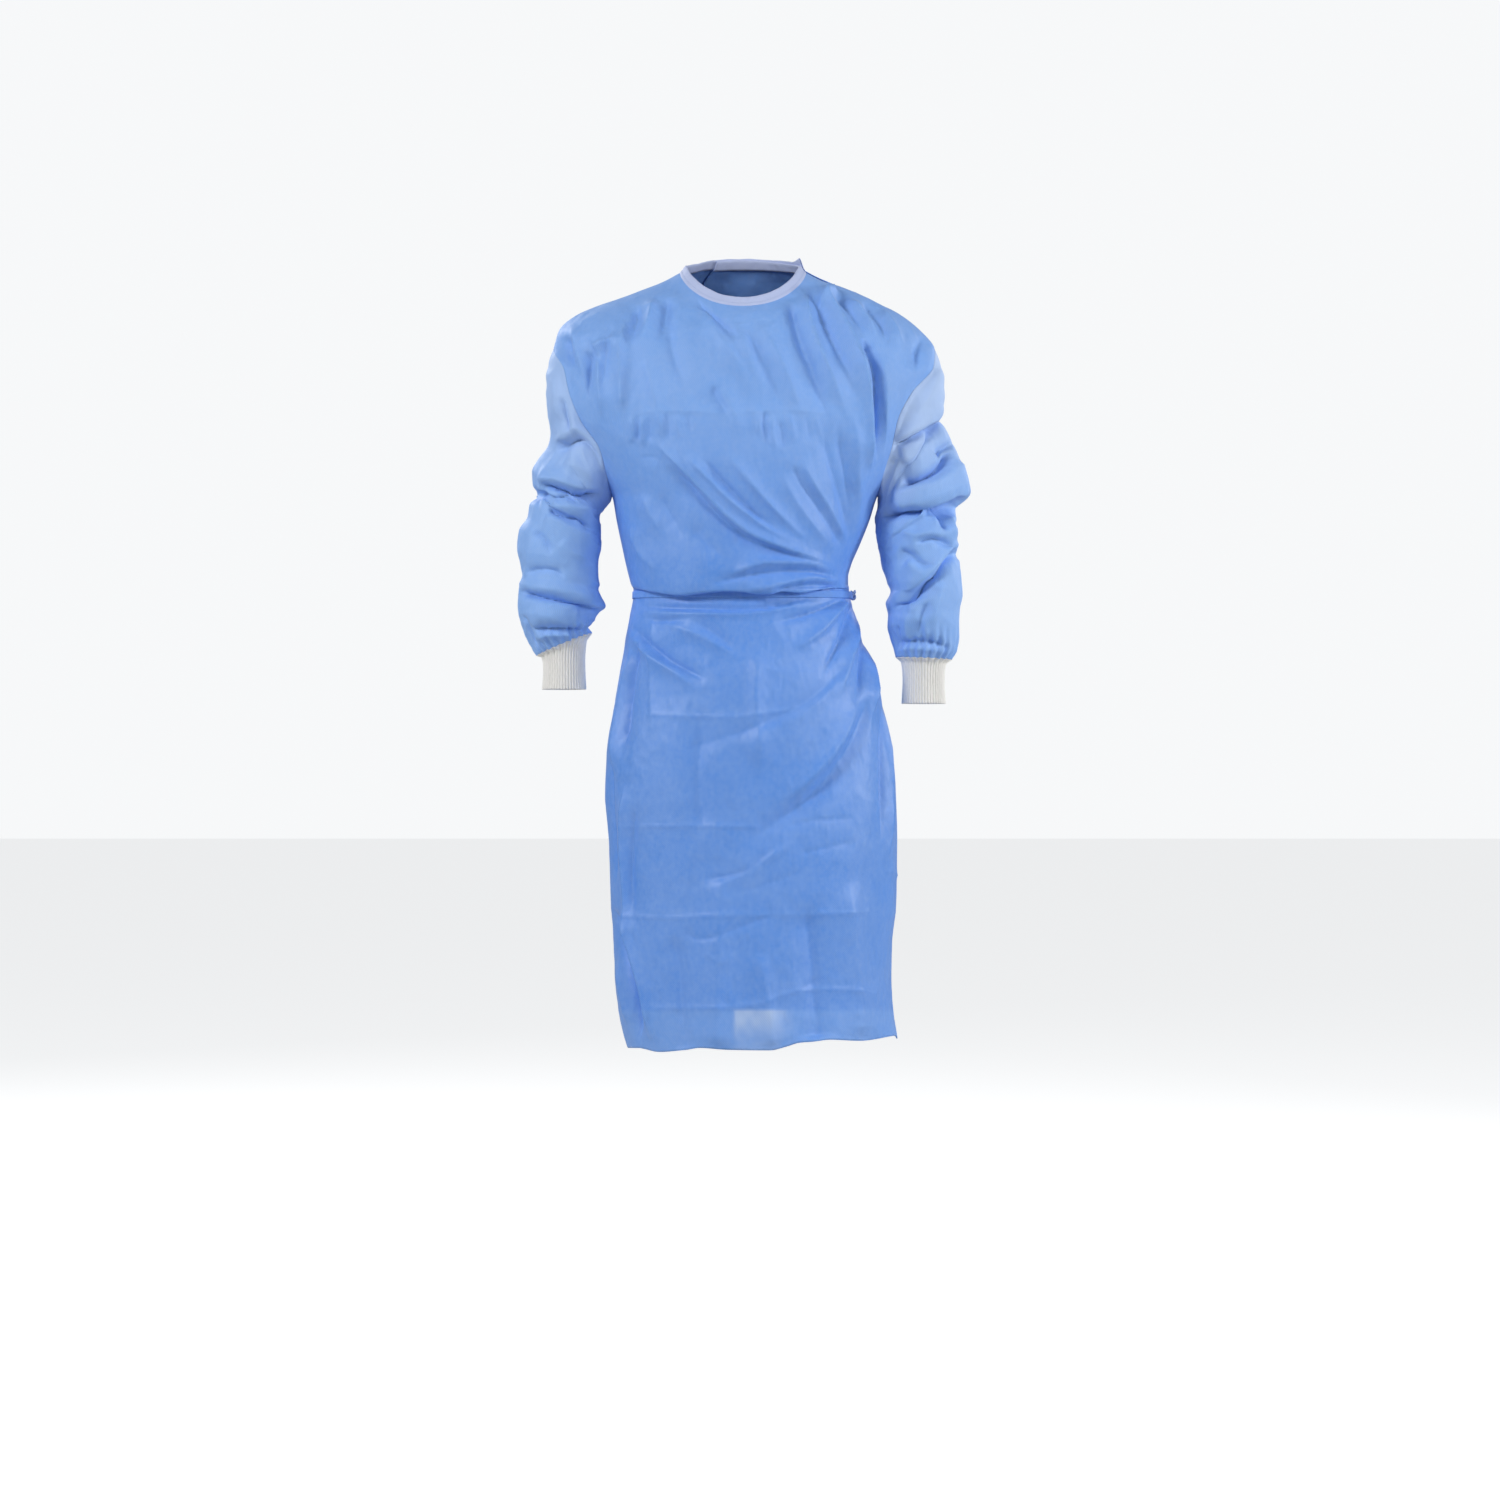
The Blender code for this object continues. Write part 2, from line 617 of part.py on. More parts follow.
def neckline(grids, normals):
    """The neckline's points, upward ways and normals, from the under panel round to the wrap."""
    under, front, wrap = grids["back_under"], grids["front"], grids["back_wrap"]
    parts = [
        ("back_under", under, np.s_[:-1]),
        ("front", front, np.s_[::-1]),
        ("back_wrap", wrap, np.s_[1:]),
    ]
    points, ways, outs = [], [], []
    for name, grid, cut in parts:
        points.append(grid[0][cut])
        ways.append((grid[0] - grid[1])[cut])
        outs.append(normals[name][0][cut])
    ways = np.concatenate(ways)
    ways /= np.linalg.norm(ways, axis=-1, keepdims=True)
    return np.concatenate(points), ways, np.concatenate(outs)


def add_binding(grids, normals, finish):
    """The strip that stands on the neckline, one spiral turn with its ends lapped behind."""
    points, ways, outs = neckline(grids, normals)
    up = ways * (1 - BINDING_UPRIGHT) + np.array((0, 0, BINDING_UPRIGHT))
    up /= np.linalg.norm(up, axis=-1, keepdims=True)
    base = points + up * SEAM_GAP
    shares = np.array(BINDING_ROWS)[:, None, None]
    middle = base + up * BINDING_HEIGHT * shares
    outer = middle + outs * BINDING_PROUD
    inner = outer - outs * BINDING_THICK
    add_wall("neck_binding", outer, inner, finish)


def belt_base(grids, normals):
    """The belt's two rows of points on the cloth, all round, with how far out it must stand."""
    rows = [row_of(BELT_TOP_RING), row_of(BELT_BOTTOM_RING)]
    front, wrap, under = (grids[name] for name in ("front", "back_wrap", "back_under"))
    free_edge = wrap[rows[0], -1]
    beyond = [
        column
        for column, point in enumerate(under[rows[0]])
        if point[0] > 0 and point[1] < free_edge[1] - BELT_CLEAR_OF_EDGE
    ]
    loops, outs = [], []
    for row in rows:
        loop = [front[row, :-1], under[row, beyond][::-1], wrap[row, 1:][::-1]]
        loops.append(np.concatenate(loop))
        out = [normals["front"][row, :-1], normals["back_under"][row, beyond][::-1]]
        outs.append(np.concatenate(out + [normals["back_wrap"][row, 1:][::-1]]))
    lift = np.full(len(loops[0]), BELT_LIFT)
    first = front.shape[1] - 1
    lift[first : first + len(beyond)] += WRAP_STAND_OFF
    lift[first - 1] += WRAP_STAND_OFF / 2
    return np.array(loops), np.array(outs), lift


def add_belt(grids, normals, finish):
    loops, outs, lift = belt_base(grids, normals)
    loops = np.concatenate([loops, loops[:, :1]], axis=1)
    outs = np.concatenate([outs, outs[:, :1]], axis=1)
    lift = np.append(lift, lift[0])[None, :, None]
    outs = outs * (1, 1, 0)
    outs /= np.linalg.norm(outs, axis=-1, keepdims=True)
    inner = loops + outs * lift
    add_wall("belt", inner + outs * BELT_THICK, inner, finish, closed=True)


def under_surface(rows, across):
    """Points of the inner back panel's outer face, and its outward ways, level with the floor."""
    points = pushed_out(body_surface(rows, across, front=False), across, BACK_FOLDS)
    beside = pushed_out(body_surface(rows, across + BESIDE, front=False), across, BACK_FOLDS)
    along = (beside - points) * (1, 1, 0)
    along /= np.linalg.norm(along, axis=-1, keepdims=True)
    out = np.stack([-along[..., 1], along[..., 0], np.zeros_like(along[..., 0])], axis=-1)
    return points, along, out * np.sign(np.sum(out * points, axis=-1, keepdims=True))


def add_knot(finish):
    """The belt's knot, a rounded lump on the belt's outer face."""
    middle_ring = np.array([(BELT_TOP_RING + BELT_BOTTOM_RING) / 2])
    points, along, out = under_surface(middle_ring, np.array([KNOT_PLACE]))
    stand = WRAP_STAND_OFF + BELT_LIFT + BELT_THICK + KNOT_GAP + KNOT_HALF_SIZES[1]
    centre = points[0] + out[0] * stand
    shape = bmesh.new()
    bmesh.ops.create_uvsphere(shape, u_segments=KNOT_SEGMENTS, v_segments=KNOT_RINGS, radius=1)
    for vert in shape.verts:
        wide, deep, high = (n * c for n, c in zip(KNOT_HALF_SIZES, vert.co))
        waist = 1 - KNOT_WAIST * math.cos(high / KNOT_HALF_SIZES[2] * math.pi / 2) ** 4
        vert.co = centre + along[0] * wide * waist + out[0] * deep + np.array((0, 0, high))
    add_object("belt_knot", shape, finish)


def add_tie_end(end, finish):
    """One free end of the belt, a narrow strip that hangs down the cloth behind the knot."""
    share = np.linspace(0, 1, TIE_STEPS + 1)
    rows = end.ring_top + (end.ring_tip - end.ring_top) * share
    across = end.place_top + (end.place_tip - end.place_top) * share
    points, along, out = under_surface(rows, across)
    sides = np.array((-0.5, 0.5))[None, :, None] * TIE_WIDTH
    inner = points[:, None] + along[:, None] * sides + out[:, None] * end.lift
    add_wall(end.name, inner + out[:, None] * TIE_THICK, inner, finish)


def clear_scene():
    for made in list(bpy.data.objects):
        bpy.data.objects.remove(made)


def main():
    clear_scene()
    blue = material("gown_cloth", CLOTH_BLUE, CLOTH_ROUGHNESS)
    sleeve = material("sleeve_cloth", SLEEVE_BLUE, CLOTH_ROUGHNESS)
    knit = material("cuff_knit", KNIT_WHITE, KNIT_ROUGHNESS)
    pale = material("binding_tape", BINDING_WHITE, CLOTH_ROUGHNESS)
    strip = material("belt_cloth", CLOTH_BLUE, CLOTH_ROUGHNESS)
    grids, normals = build_panels()
    finishes = {"front": blue, "back_wrap": blue, "back_under": blue}
    finishes.update(sleeve_right=sleeve, sleeve_left=sleeve, cuff_right=knit, cuff_left=knit)
    add_panels(grids, normals, finishes)
    add_binding(grids, normals, pale)
    add_belt(grids, normals, strip)
    add_knot(strip)
    for end in TIE_ENDS:
        add_tie_end(end, strip)


main()
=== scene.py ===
"""The looks of a worn surgical gown: thin creased cloth, knitted cuffs, binding, belt and seams.

It is laid out as a Blender add-on and runs as a script. Lengths in tables and constants are
in millimetres. The gown faces -Y, and its origin lies between the shoulders.
"""

from collections import namedtuple
import math

import bmesh
import bpy
from mathutils import Matrix
import numpy as np


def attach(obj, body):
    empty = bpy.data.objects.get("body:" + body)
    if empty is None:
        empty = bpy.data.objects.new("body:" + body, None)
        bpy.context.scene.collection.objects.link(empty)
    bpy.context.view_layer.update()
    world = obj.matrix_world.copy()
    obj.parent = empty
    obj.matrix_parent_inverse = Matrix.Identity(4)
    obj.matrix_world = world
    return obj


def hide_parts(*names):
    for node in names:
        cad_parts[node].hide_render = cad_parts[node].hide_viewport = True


bl_info = {
    "name": "Surgical Gown",
    "version": (1, 0, 0),
    "blender": (4, 5, 0),
    "location": "View3D > Sidebar > Gown",
    "description": "Builds the cloth, cuffs, trim and stage of a worn surgical gown",
    "category": "Object",
}

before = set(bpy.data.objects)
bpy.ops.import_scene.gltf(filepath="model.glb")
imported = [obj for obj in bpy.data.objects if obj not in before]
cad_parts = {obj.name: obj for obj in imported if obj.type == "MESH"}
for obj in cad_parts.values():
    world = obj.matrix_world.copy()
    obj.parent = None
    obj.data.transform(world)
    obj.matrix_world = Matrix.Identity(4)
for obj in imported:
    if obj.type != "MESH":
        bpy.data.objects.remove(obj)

MM = 0.001
SQUARENESS = 2.2
NECK_DIP_POWER = 1.3
SEAM_PULL = 3.0
SHOULDER_TIP_RING = 7
UNDERARM_RING = 13
BELT_TOP_RING = 21
BELT_BOTTOM_RING = 22
WRAP_STAND_OFF = 3.2
WRAP_RISE = (-0.62, -0.34)
UNDER_FREE_EDGE = -0.30

# The camera. Its view is a grid of steps, in which the creases of the front are placed.
CAMERA_PLACE = (9.6, -4500.0, -651.0)
VIEW_SPAN = 2055.0
VIEW_STEPS = 1500
VIEW_STEP = VIEW_SPAN / VIEW_STEPS
FLOOR_HEIGHT = -1582.0

# One ring of the body for each row: the height and the places of its two sides, the places of
# the armhole seams, then the height and the depth of its middle in front and at the back.
BodyRing = namedtuple(
    "BodyRing", "side left right seam_left seam_right front_low front back_low back"
)
BODY = [
    BodyRing(4, -84, 84, -84, 84, -51, 80, 18, 62),
    BodyRing(-10, -110, 112, -110, 112, -59, 87, 6, 72),
    BodyRing(-21, -138, 145, -138, 145, -68, 94, -8, 82),
    BodyRing(-32, -167, 171, -167, 171, -78, 100, -23, 91),
    BodyRing(-42, -197, 191, -197, 191, -89, 106, -39, 99),
    BodyRing(-56, -229, 217, -229, 217, -101, 111, -56, 106),
    BodyRing(-75, -251, 241, -251, 241, -114, 116, -75, 112),
    BodyRing(-100, -259, 262, -259, 262, -130, 120, -97, 117),
    BodyRing(-125, -267, 269, -243, 259, -152, 123, -125, 121),
    BodyRing(-158, -264, 260, -235, 228, -184, 127, -158, 124),
    BodyRing(-197, -248, 243, -219, 208, -220, 131, -197, 124),
    BodyRing(-238, -220, 225, -193, 200, -257, 132, -238, 122),
    BodyRing(-274, -196, 205, -185, 190, -290, 131, -274, 119),
    BodyRing(-304, -179, 184, -179, 184, -318, 129, -304, 115),
    BodyRing(-337, -173, 173, -173, 173, -346, 127, -337, 108),
    BodyRing(-370, -166, 160, -166, 160, -376, 126, -370, 101),
    BodyRing(-398, -160, 148, -160, 148, -404, 126, -398, 95),
    BodyRing(-414, -156, 144, -156, 144, -424, 125.5, -414, 91.5),
    BodyRing(-424, -153, 144, -153, 144, -442, 121, -424, 89),
    BodyRing(-428, -151, 145, -151, 145, -438, 113, -428, 88),
    BodyRing(-431, -150, 145, -150, 145, -433.5, 107, -431, 87),
    BodyRing(-434, -150, 145.5, -150, 145.5, -436.5, 106.5, -434, 87),
    BodyRing(-444, -150.5, 147, -150.5, 147, -447, 106.5, -444, 88),
    BodyRing(-454, -152, 150, -152, 150, -458, 109, -454, 91),
    BodyRing(-490, -159, 160, -159, 160, -493, 114, -490, 103),
    BodyRing(-534, -166, 178, -166, 178, -536, 120.5, -534, 117),
    BodyRing(-582, -173, 191, -173, 191, -583, 127, -582, 127),
    BodyRing(-640, -184, 202, -184, 202, -640, 132, -640, 133),
    BodyRing(-705, -189, 208, -189, 208, -705, 135, -705, 134),
    BodyRing(-775, -184, 211, -184, 211, -775, 136, -775, 132),
    BodyRing(-849, -181, 210, -181, 210, -849, 137, -849, 130),
    BodyRing(-915, -177, 204, -177, 204, -915, 138.5, -915, 128.5),
    BodyRing(-965, -174, 203, -174, 203, -965, 140, -965, 128),
    BodyRing(-1013, -168, 206, -168, 206, -1013, 142, -1013, 128),
    BodyRing(-1046, -160, 211, -160, 211, -1051, 143, -1047, 128),
]
# How far round from the middle a panel's columns reach, in degrees, at rows of the table.
COLUMN_SPREAD = [(0, 88), (8.5, 67), (11, 67), (15, 87), (34, 88)]

# One ring of a sleeve for each row, at the crest or the valley of a fold: the height and the
# place of its outer side and of its inner side, and half its depth from front to back.
SleeveRing = namedtuple("SleeveRing", "outer_low outer inner_low inner depth")
SLEEVE_RIGHT = [
    SleeveRing(-100, -259, -304, -179, 64),
    SleeveRing(-120, -266, -309, -181, 65),
    SleeveRing(-142, -267, -314, -185, 65),
    SleeveRing(-165, -266, -320, -190, 64),
    SleeveRing(-190, -264.5, -326, -194, 62),
    SleeveRing(-214, -262, -332, -196.5, 59),
    SleeveRing(-233, -266, -338, -197, 59),
    SleeveRing(-251, -279, -345, -196, 61),
    SleeveRing(-270, -289, -352, -196, 61),
    SleeveRing(-288, -288, -359, -197, 59),
    SleeveRing(-302, -279, -367, -196, 54),
    SleeveRing(-314, -292, -375, -196, 56),
    SleeveRing(-332, -295, -384, -198, 58),
    SleeveRing(-351, -306, -394, -199, 59),
    SleeveRing(-376, -308, -405, -199, 59),
    SleeveRing(-400, -303, -418, -200, 57),
    SleeveRing(-416, -300, -430, -201, 53),
    SleeveRing(-434, -305, -442, -195, 57),
    SleeveRing(-453, -307, -453, -189, 60),
    SleeveRing(-472, -305, -464, -197, 57),
    SleeveRing(-491, -299, -474, -206, 48),
    SleeveRing(-508, -291, -483, -208, 41),
    SleeveRing(-521, -281, -491, -209, 35),
]
SLEEVE_LEFT = [
    SleeveRing(-100, 262, -304, 184, 64),
    SleeveRing(-120, 270, -309, 185, 65),
    SleeveRing(-143, 274, -315, 185, 65),
    SleeveRing(-166, 275, -321, 184, 63),
    SleeveRing(-184, 272, -327, 183, 60),
    SleeveRing(-197, 264, -333, 182, 57),
    SleeveRing(-212, 277, -339, 182, 60),
    SleeveRing(-234, 289, -345, 182, 63),
    SleeveRing(-260, 300, -352, 182, 64),
    SleeveRing(-282, 308, -359, 183, 63),
    SleeveRing(-297, 311, -366, 184, 61),
    SleeveRing(-307, 298, -373, 186, 55),
    SleeveRing(-318, 289, -381, 188, 54),
    SleeveRing(-346, 295, -390, 190, 57),
    SleeveRing(-371, 290, -400, 192, 54),
    SleeveRing(-393, 295, -411, 195, 56),
    SleeveRing(-416, 300, -423, 200, 57),
    SleeveRing(-438, 301, -435, 204, 54),
    SleeveRing(-458, 297, -450, 196, 57),
    SleeveRing(-476, 296, -466, 200, 57),
    SleeveRing(-494, 296, -483, 200, 51),
    SleeveRing(-512, 293, -504, 206, 42),
    SleeveRing(-527, 285, -524, 210, 36),
]

# One ring of a cuff for each row, by how far it lies below the sleeve's end.
CuffRing = namedtuple("CuffRing", "drop half_width half_depth")
CUFF = [CuffRing(7, 30, 28.5), CuffRing(30, 28, 26.5), CuffRing(62, 29.5, 27)]

# The outer back panel's free edge: how far across the back it lies at each height.
FreeEdge = namedtuple("FreeEdge", "height place")
WRAP_EDGE = [
    FreeEdge(20, 0.87),
    FreeEdge(-60, 0.70),
    FreeEdge(-160, 0.62),
    FreeEdge(-300, 0.62),
    FreeEdge(-440, 0.72),
    FreeEdge(-700, 0.66),
    FreeEdge(-1060, 0.60),
]

# A crease as someone who walks along its path would meet it: how far it stands out, or in
# where negative, how wide its left and its right flank are, how sharp its crest is (1 is a
# pleat's edge, 2 is a soft roll), and where it fades in and out, as shares of its length. The
# paths are in steps of the camera's view, from its top left corner.
Crease = namedtuple("Crease", "rise left right crest fade_in fade_out path")
YOKE_CREASES = [
    Crease(-3.5, 4, 6, 1.2, 0.05, 0.5, (
        (687, 273), (692, 290), (704, 307), (722, 324), (745, 345),
    )),
    Crease(3.0, 7, 10, 1.6, 0.2, 0.5, ((700, 300), (716, 330), (740, 368), (760, 400))),
    Crease(-3.0, 8, 7, 1.7, 0.2, 0.6, ((668, 296), (664, 320), (655, 350))),
    Crease(3.0, 7, 7, 1.6, 0.2, 0.6, ((655, 298), (648, 325), (636, 352))),
    Crease(-3.0, 7, 6, 1.6, 0.2, 0.6, ((640, 305), (632, 330), (625, 352))),
    Crease(4.0, 5, 10, 1.4, 0.3, 0.3, ((625, 318), (622, 350), (623, 420))),
    Crease(-2.5, 6, 6, 1.6, 0.3, 0.4, ((613, 322), (607, 345), (604, 400))),
    Crease(3.5, 5, 9, 1.3, 0.1, 0.4, ((593, 349), (608, 341), (622, 340))),
    Crease(-3.8, 4.5, 2.5, 1.2, 0.15, 0.5, ((592, 350), (589, 366), (588, 385), (590, 402))),
    Crease(3.0, 9, 5, 1.5, 0.2, 0.4, ((598, 352), (600, 380), (603, 425))),
    Crease(-4.0, 6, 6, 1.5, 0.2, 0.4, ((566, 335), (568, 352), (578, 372))),
    Crease(3.0, 7, 7, 1.6, 0.3, 0.4, ((570, 320), (576, 345), (584, 380))),
    Crease(-2.4, 9, 9, 1.8, 0.3, 0.5, ((668, 310), (672, 350), (690, 395))),
    Crease(2.2, 10, 8, 1.7, 0.3, 0.5, ((645, 350), (655, 400), (662, 440))),
    Crease(2.4, 8, 8, 1.6, 0.3, 0.5, ((730, 316), (748, 352), (764, 398))),
    Crease(-2.4, 8, 8, 1.6, 0.3, 0.5, ((742, 320), (764, 360), (786, 410))),
    Crease(2.8, 7, 9, 1.5, 0.3, 0.5, ((757, 318), (786, 372), (812, 440))),
    Crease(-4.5, 6, 8, 1.5, 0.1, 0.55, ((790, 300), (800, 336), (815, 375), (833, 432))),
    Crease(4.8, 6, 7, 1.4, 0.15, 0.5, ((802, 288), (812, 330), (832, 378), (850, 425))),
    Crease(-4.0, 6, 6, 1.4, 0.1, 0.5, ((808, 284), (826, 325), (846, 366), (858, 405))),
    Crease(4.2, 7, 6, 1.5, 0.15, 0.5, ((818, 286), (840, 318), (858, 352), (868, 398))),
    Crease(4.5, 4, 8, 1.3, 0.1, 0.6, ((836, 288), (824, 298), (816, 316))),
    Crease(-3.0, 7, 6, 1.5, 0.2, 0.5, ((832, 288), (854, 318), (872, 345))),
    Crease(3.2, 6, 7, 1.5, 0.2, 0.5, ((846, 296), (868, 320), (884, 352))),
    Crease(-3.0, 7, 7, 1.6, 0.2, 0.5, ((862, 300), (880, 325), (892, 352))),
    Crease(3.0, 7, 7, 1.6, 0.2, 0.5, ((880, 308), (894, 330), (905, 356))),
    Crease(-4.0, 5, 6, 1.3, 0.2, 0.4, ((925, 335), (918, 352), (917, 374))),
]
CHEST_CREASES = [
    Crease(-5.6, 4, 2.6, 1.2, 0.08, 0.5, (
        (862, 338), (868, 352), (874, 372), (876, 410), (876, 470),
    )),
    Crease(5.0, 4, 11, 1.4, 0.15, 0.3, ((857, 345), (866, 375), (870, 420), (870, 480))),
    Crease(3.4, 10, 5, 1.5, 0.2, 0.4, ((879, 352), (884, 385), (885, 430), (882, 470))),
    Crease(2.2, 9, 9, 1.7, 0.3, 0.4, ((848, 400), (856, 440), (858, 500), (852, 555))),
    Crease(-2.6, 8, 8, 1.7, 0.3, 0.4, ((836, 420), (846, 470), (850, 520))),
    Crease(-2.2, 6, 8, 1.4, 0.2, 0.5, ((710, 384), (722, 404), (736, 428))),
    Crease(1.6, 7, 7, 1.5, 0.3, 0.5, ((716, 380), (733, 412), (745, 440))),
    Crease(1.5, 2.5, 2.5, 1.4, 0.3, 0.3, ((632, 415), (633, 430), (631, 446))),
    Crease(-1.4, 2.5, 2.5, 1.4, 0.3, 0.3, ((637, 413), (638, 430), (637, 444))),
    Crease(1.4, 2.5, 2.5, 1.4, 0.3, 0.3, ((642, 416), (642, 432), (644, 448))),
    Crease(-1.3, 2.5, 3, 1.4, 0.3, 0.3, ((648, 416), (649, 430), (652, 444))),
    Crease(1.3, 2.5, 2.5, 1.4, 0.3, 0.4, ((659, 412), (661, 427), (664, 441))),
    Crease(-1.2, 2.5, 2.5, 1.4, 0.3, 0.4, ((666, 410), (668, 426), (672, 444))),
    Crease(1.1, 2.5, 2.5, 1.4, 0.3, 0.4, ((676, 413), (678, 430), (681, 442))),
    Crease(-1.0, 2.5, 2.5, 1.4, 0.3, 0.4, ((686, 411), (689, 423), (692, 436))),
    Crease(1.5, 2.5, 3, 1.4, 0.3, 0.4, ((758, 408), (759, 425), (763, 442))),
    Crease(-1.6, 2.5, 2.5, 1.4, 0.3, 0.4, ((764, 406), (766, 428), (768, 450))),
    Crease(1.5, 2.5, 3, 1.4, 0.3, 0.4, ((770, 408), (772, 430), (777, 456))),
    Crease(-1.3, 3, 3, 1.4, 0.3, 0.4, ((779, 418), (783, 436), (784, 452))),
    Crease(1.2, 3, 4, 1.4, 0.3, 0.4, ((789, 412), (793, 430), (795, 446))),
    Crease(-1.1, 3, 3, 1.4, 0.3, 0.4, ((803, 410), (808, 427), (812, 446))),
    Crease(1.1, 3, 3, 1.4, 0.3, 0.4, ((814, 412), (820, 430), (827, 452))),
    Crease(3.6, 10, 4, 1.3, 0.15, 0.25, (
        (653, 441), (676, 462), (700, 488), (724, 514), (748, 533), (780, 547), (812, 557),
        (840, 567),
    )),
    Crease(-3.4, 3.5, 9, 1.2, 0.2, 0.25, (
        (668, 462), (694, 488), (720, 516), (748, 538), (784, 552), (820, 561),
    )),
    Crease(3.0, 8, 4, 1.3, 0.2, 0.4, ((680, 450), (706, 476), (736, 505), (770, 530), (800, 545))),
    Crease(-2.8, 4, 7, 1.3, 0.2, 0.4, ((700, 455), (724, 482), (754, 512), (790, 538))),
    Crease(2.8, 8, 4, 1.4, 0.3, 0.4, ((722, 448), (748, 480), (780, 516), (812, 545))),
    Crease(-1.7, 6, 2.8, 1.2, 0.15, 0.2, (
        (791, 463), (803, 484), (818, 508), (832, 530), (844, 552),
    )),
    Crease(2.2, 9, 4, 1.5, 0.15, 0.25, (
        (800, 458), (812, 482), (828, 508), (840, 530), (850, 548),
    )),
    Crease(1.8, 6, 9, 1.5, 0.25, 0.3, ((780, 470), (794, 498), (812, 524), (834, 550))),
    Crease(-2.2, 8, 8, 1.7, 0.3, 0.3, ((815, 410), (830, 460), (846, 520), (852, 556))),
    Crease(1.8, 8, 10, 1.6, 0.3, 0.5, ((640, 492), (652, 514), (668, 544))),
    Crease(-1.8, 9, 8, 1.6, 0.3, 0.5, ((655, 490), (670, 516), (688, 545))),
    Crease(1.6, 8, 8, 1.6, 0.3, 0.5, ((628, 520), (640, 552), (662, 574))),
    Crease(-1.6, 8, 8, 1.6, 0.3, 0.5, ((690, 520), (706, 542), (728, 560))),
    Crease(3.2, 6, 9, 1.4, 0.3, 0.2, ((720, 583), (742, 570), (766, 562), (800, 562), (838, 572))),
    Crease(-2.8, 8, 5, 1.4, 0.3, 0.2, ((700, 588), (732, 580), (766, 573), (804, 570), (840, 578))),
    Crease(2.4, 5, 7, 1.5, 0.2, 0.2, ((742, 590), (780, 584), (812, 577), (842, 582))),
    Crease(-3.0, 5, 5, 1.3, 0.2, 0.2, ((770, 592), (806, 584), (842, 586))),
]
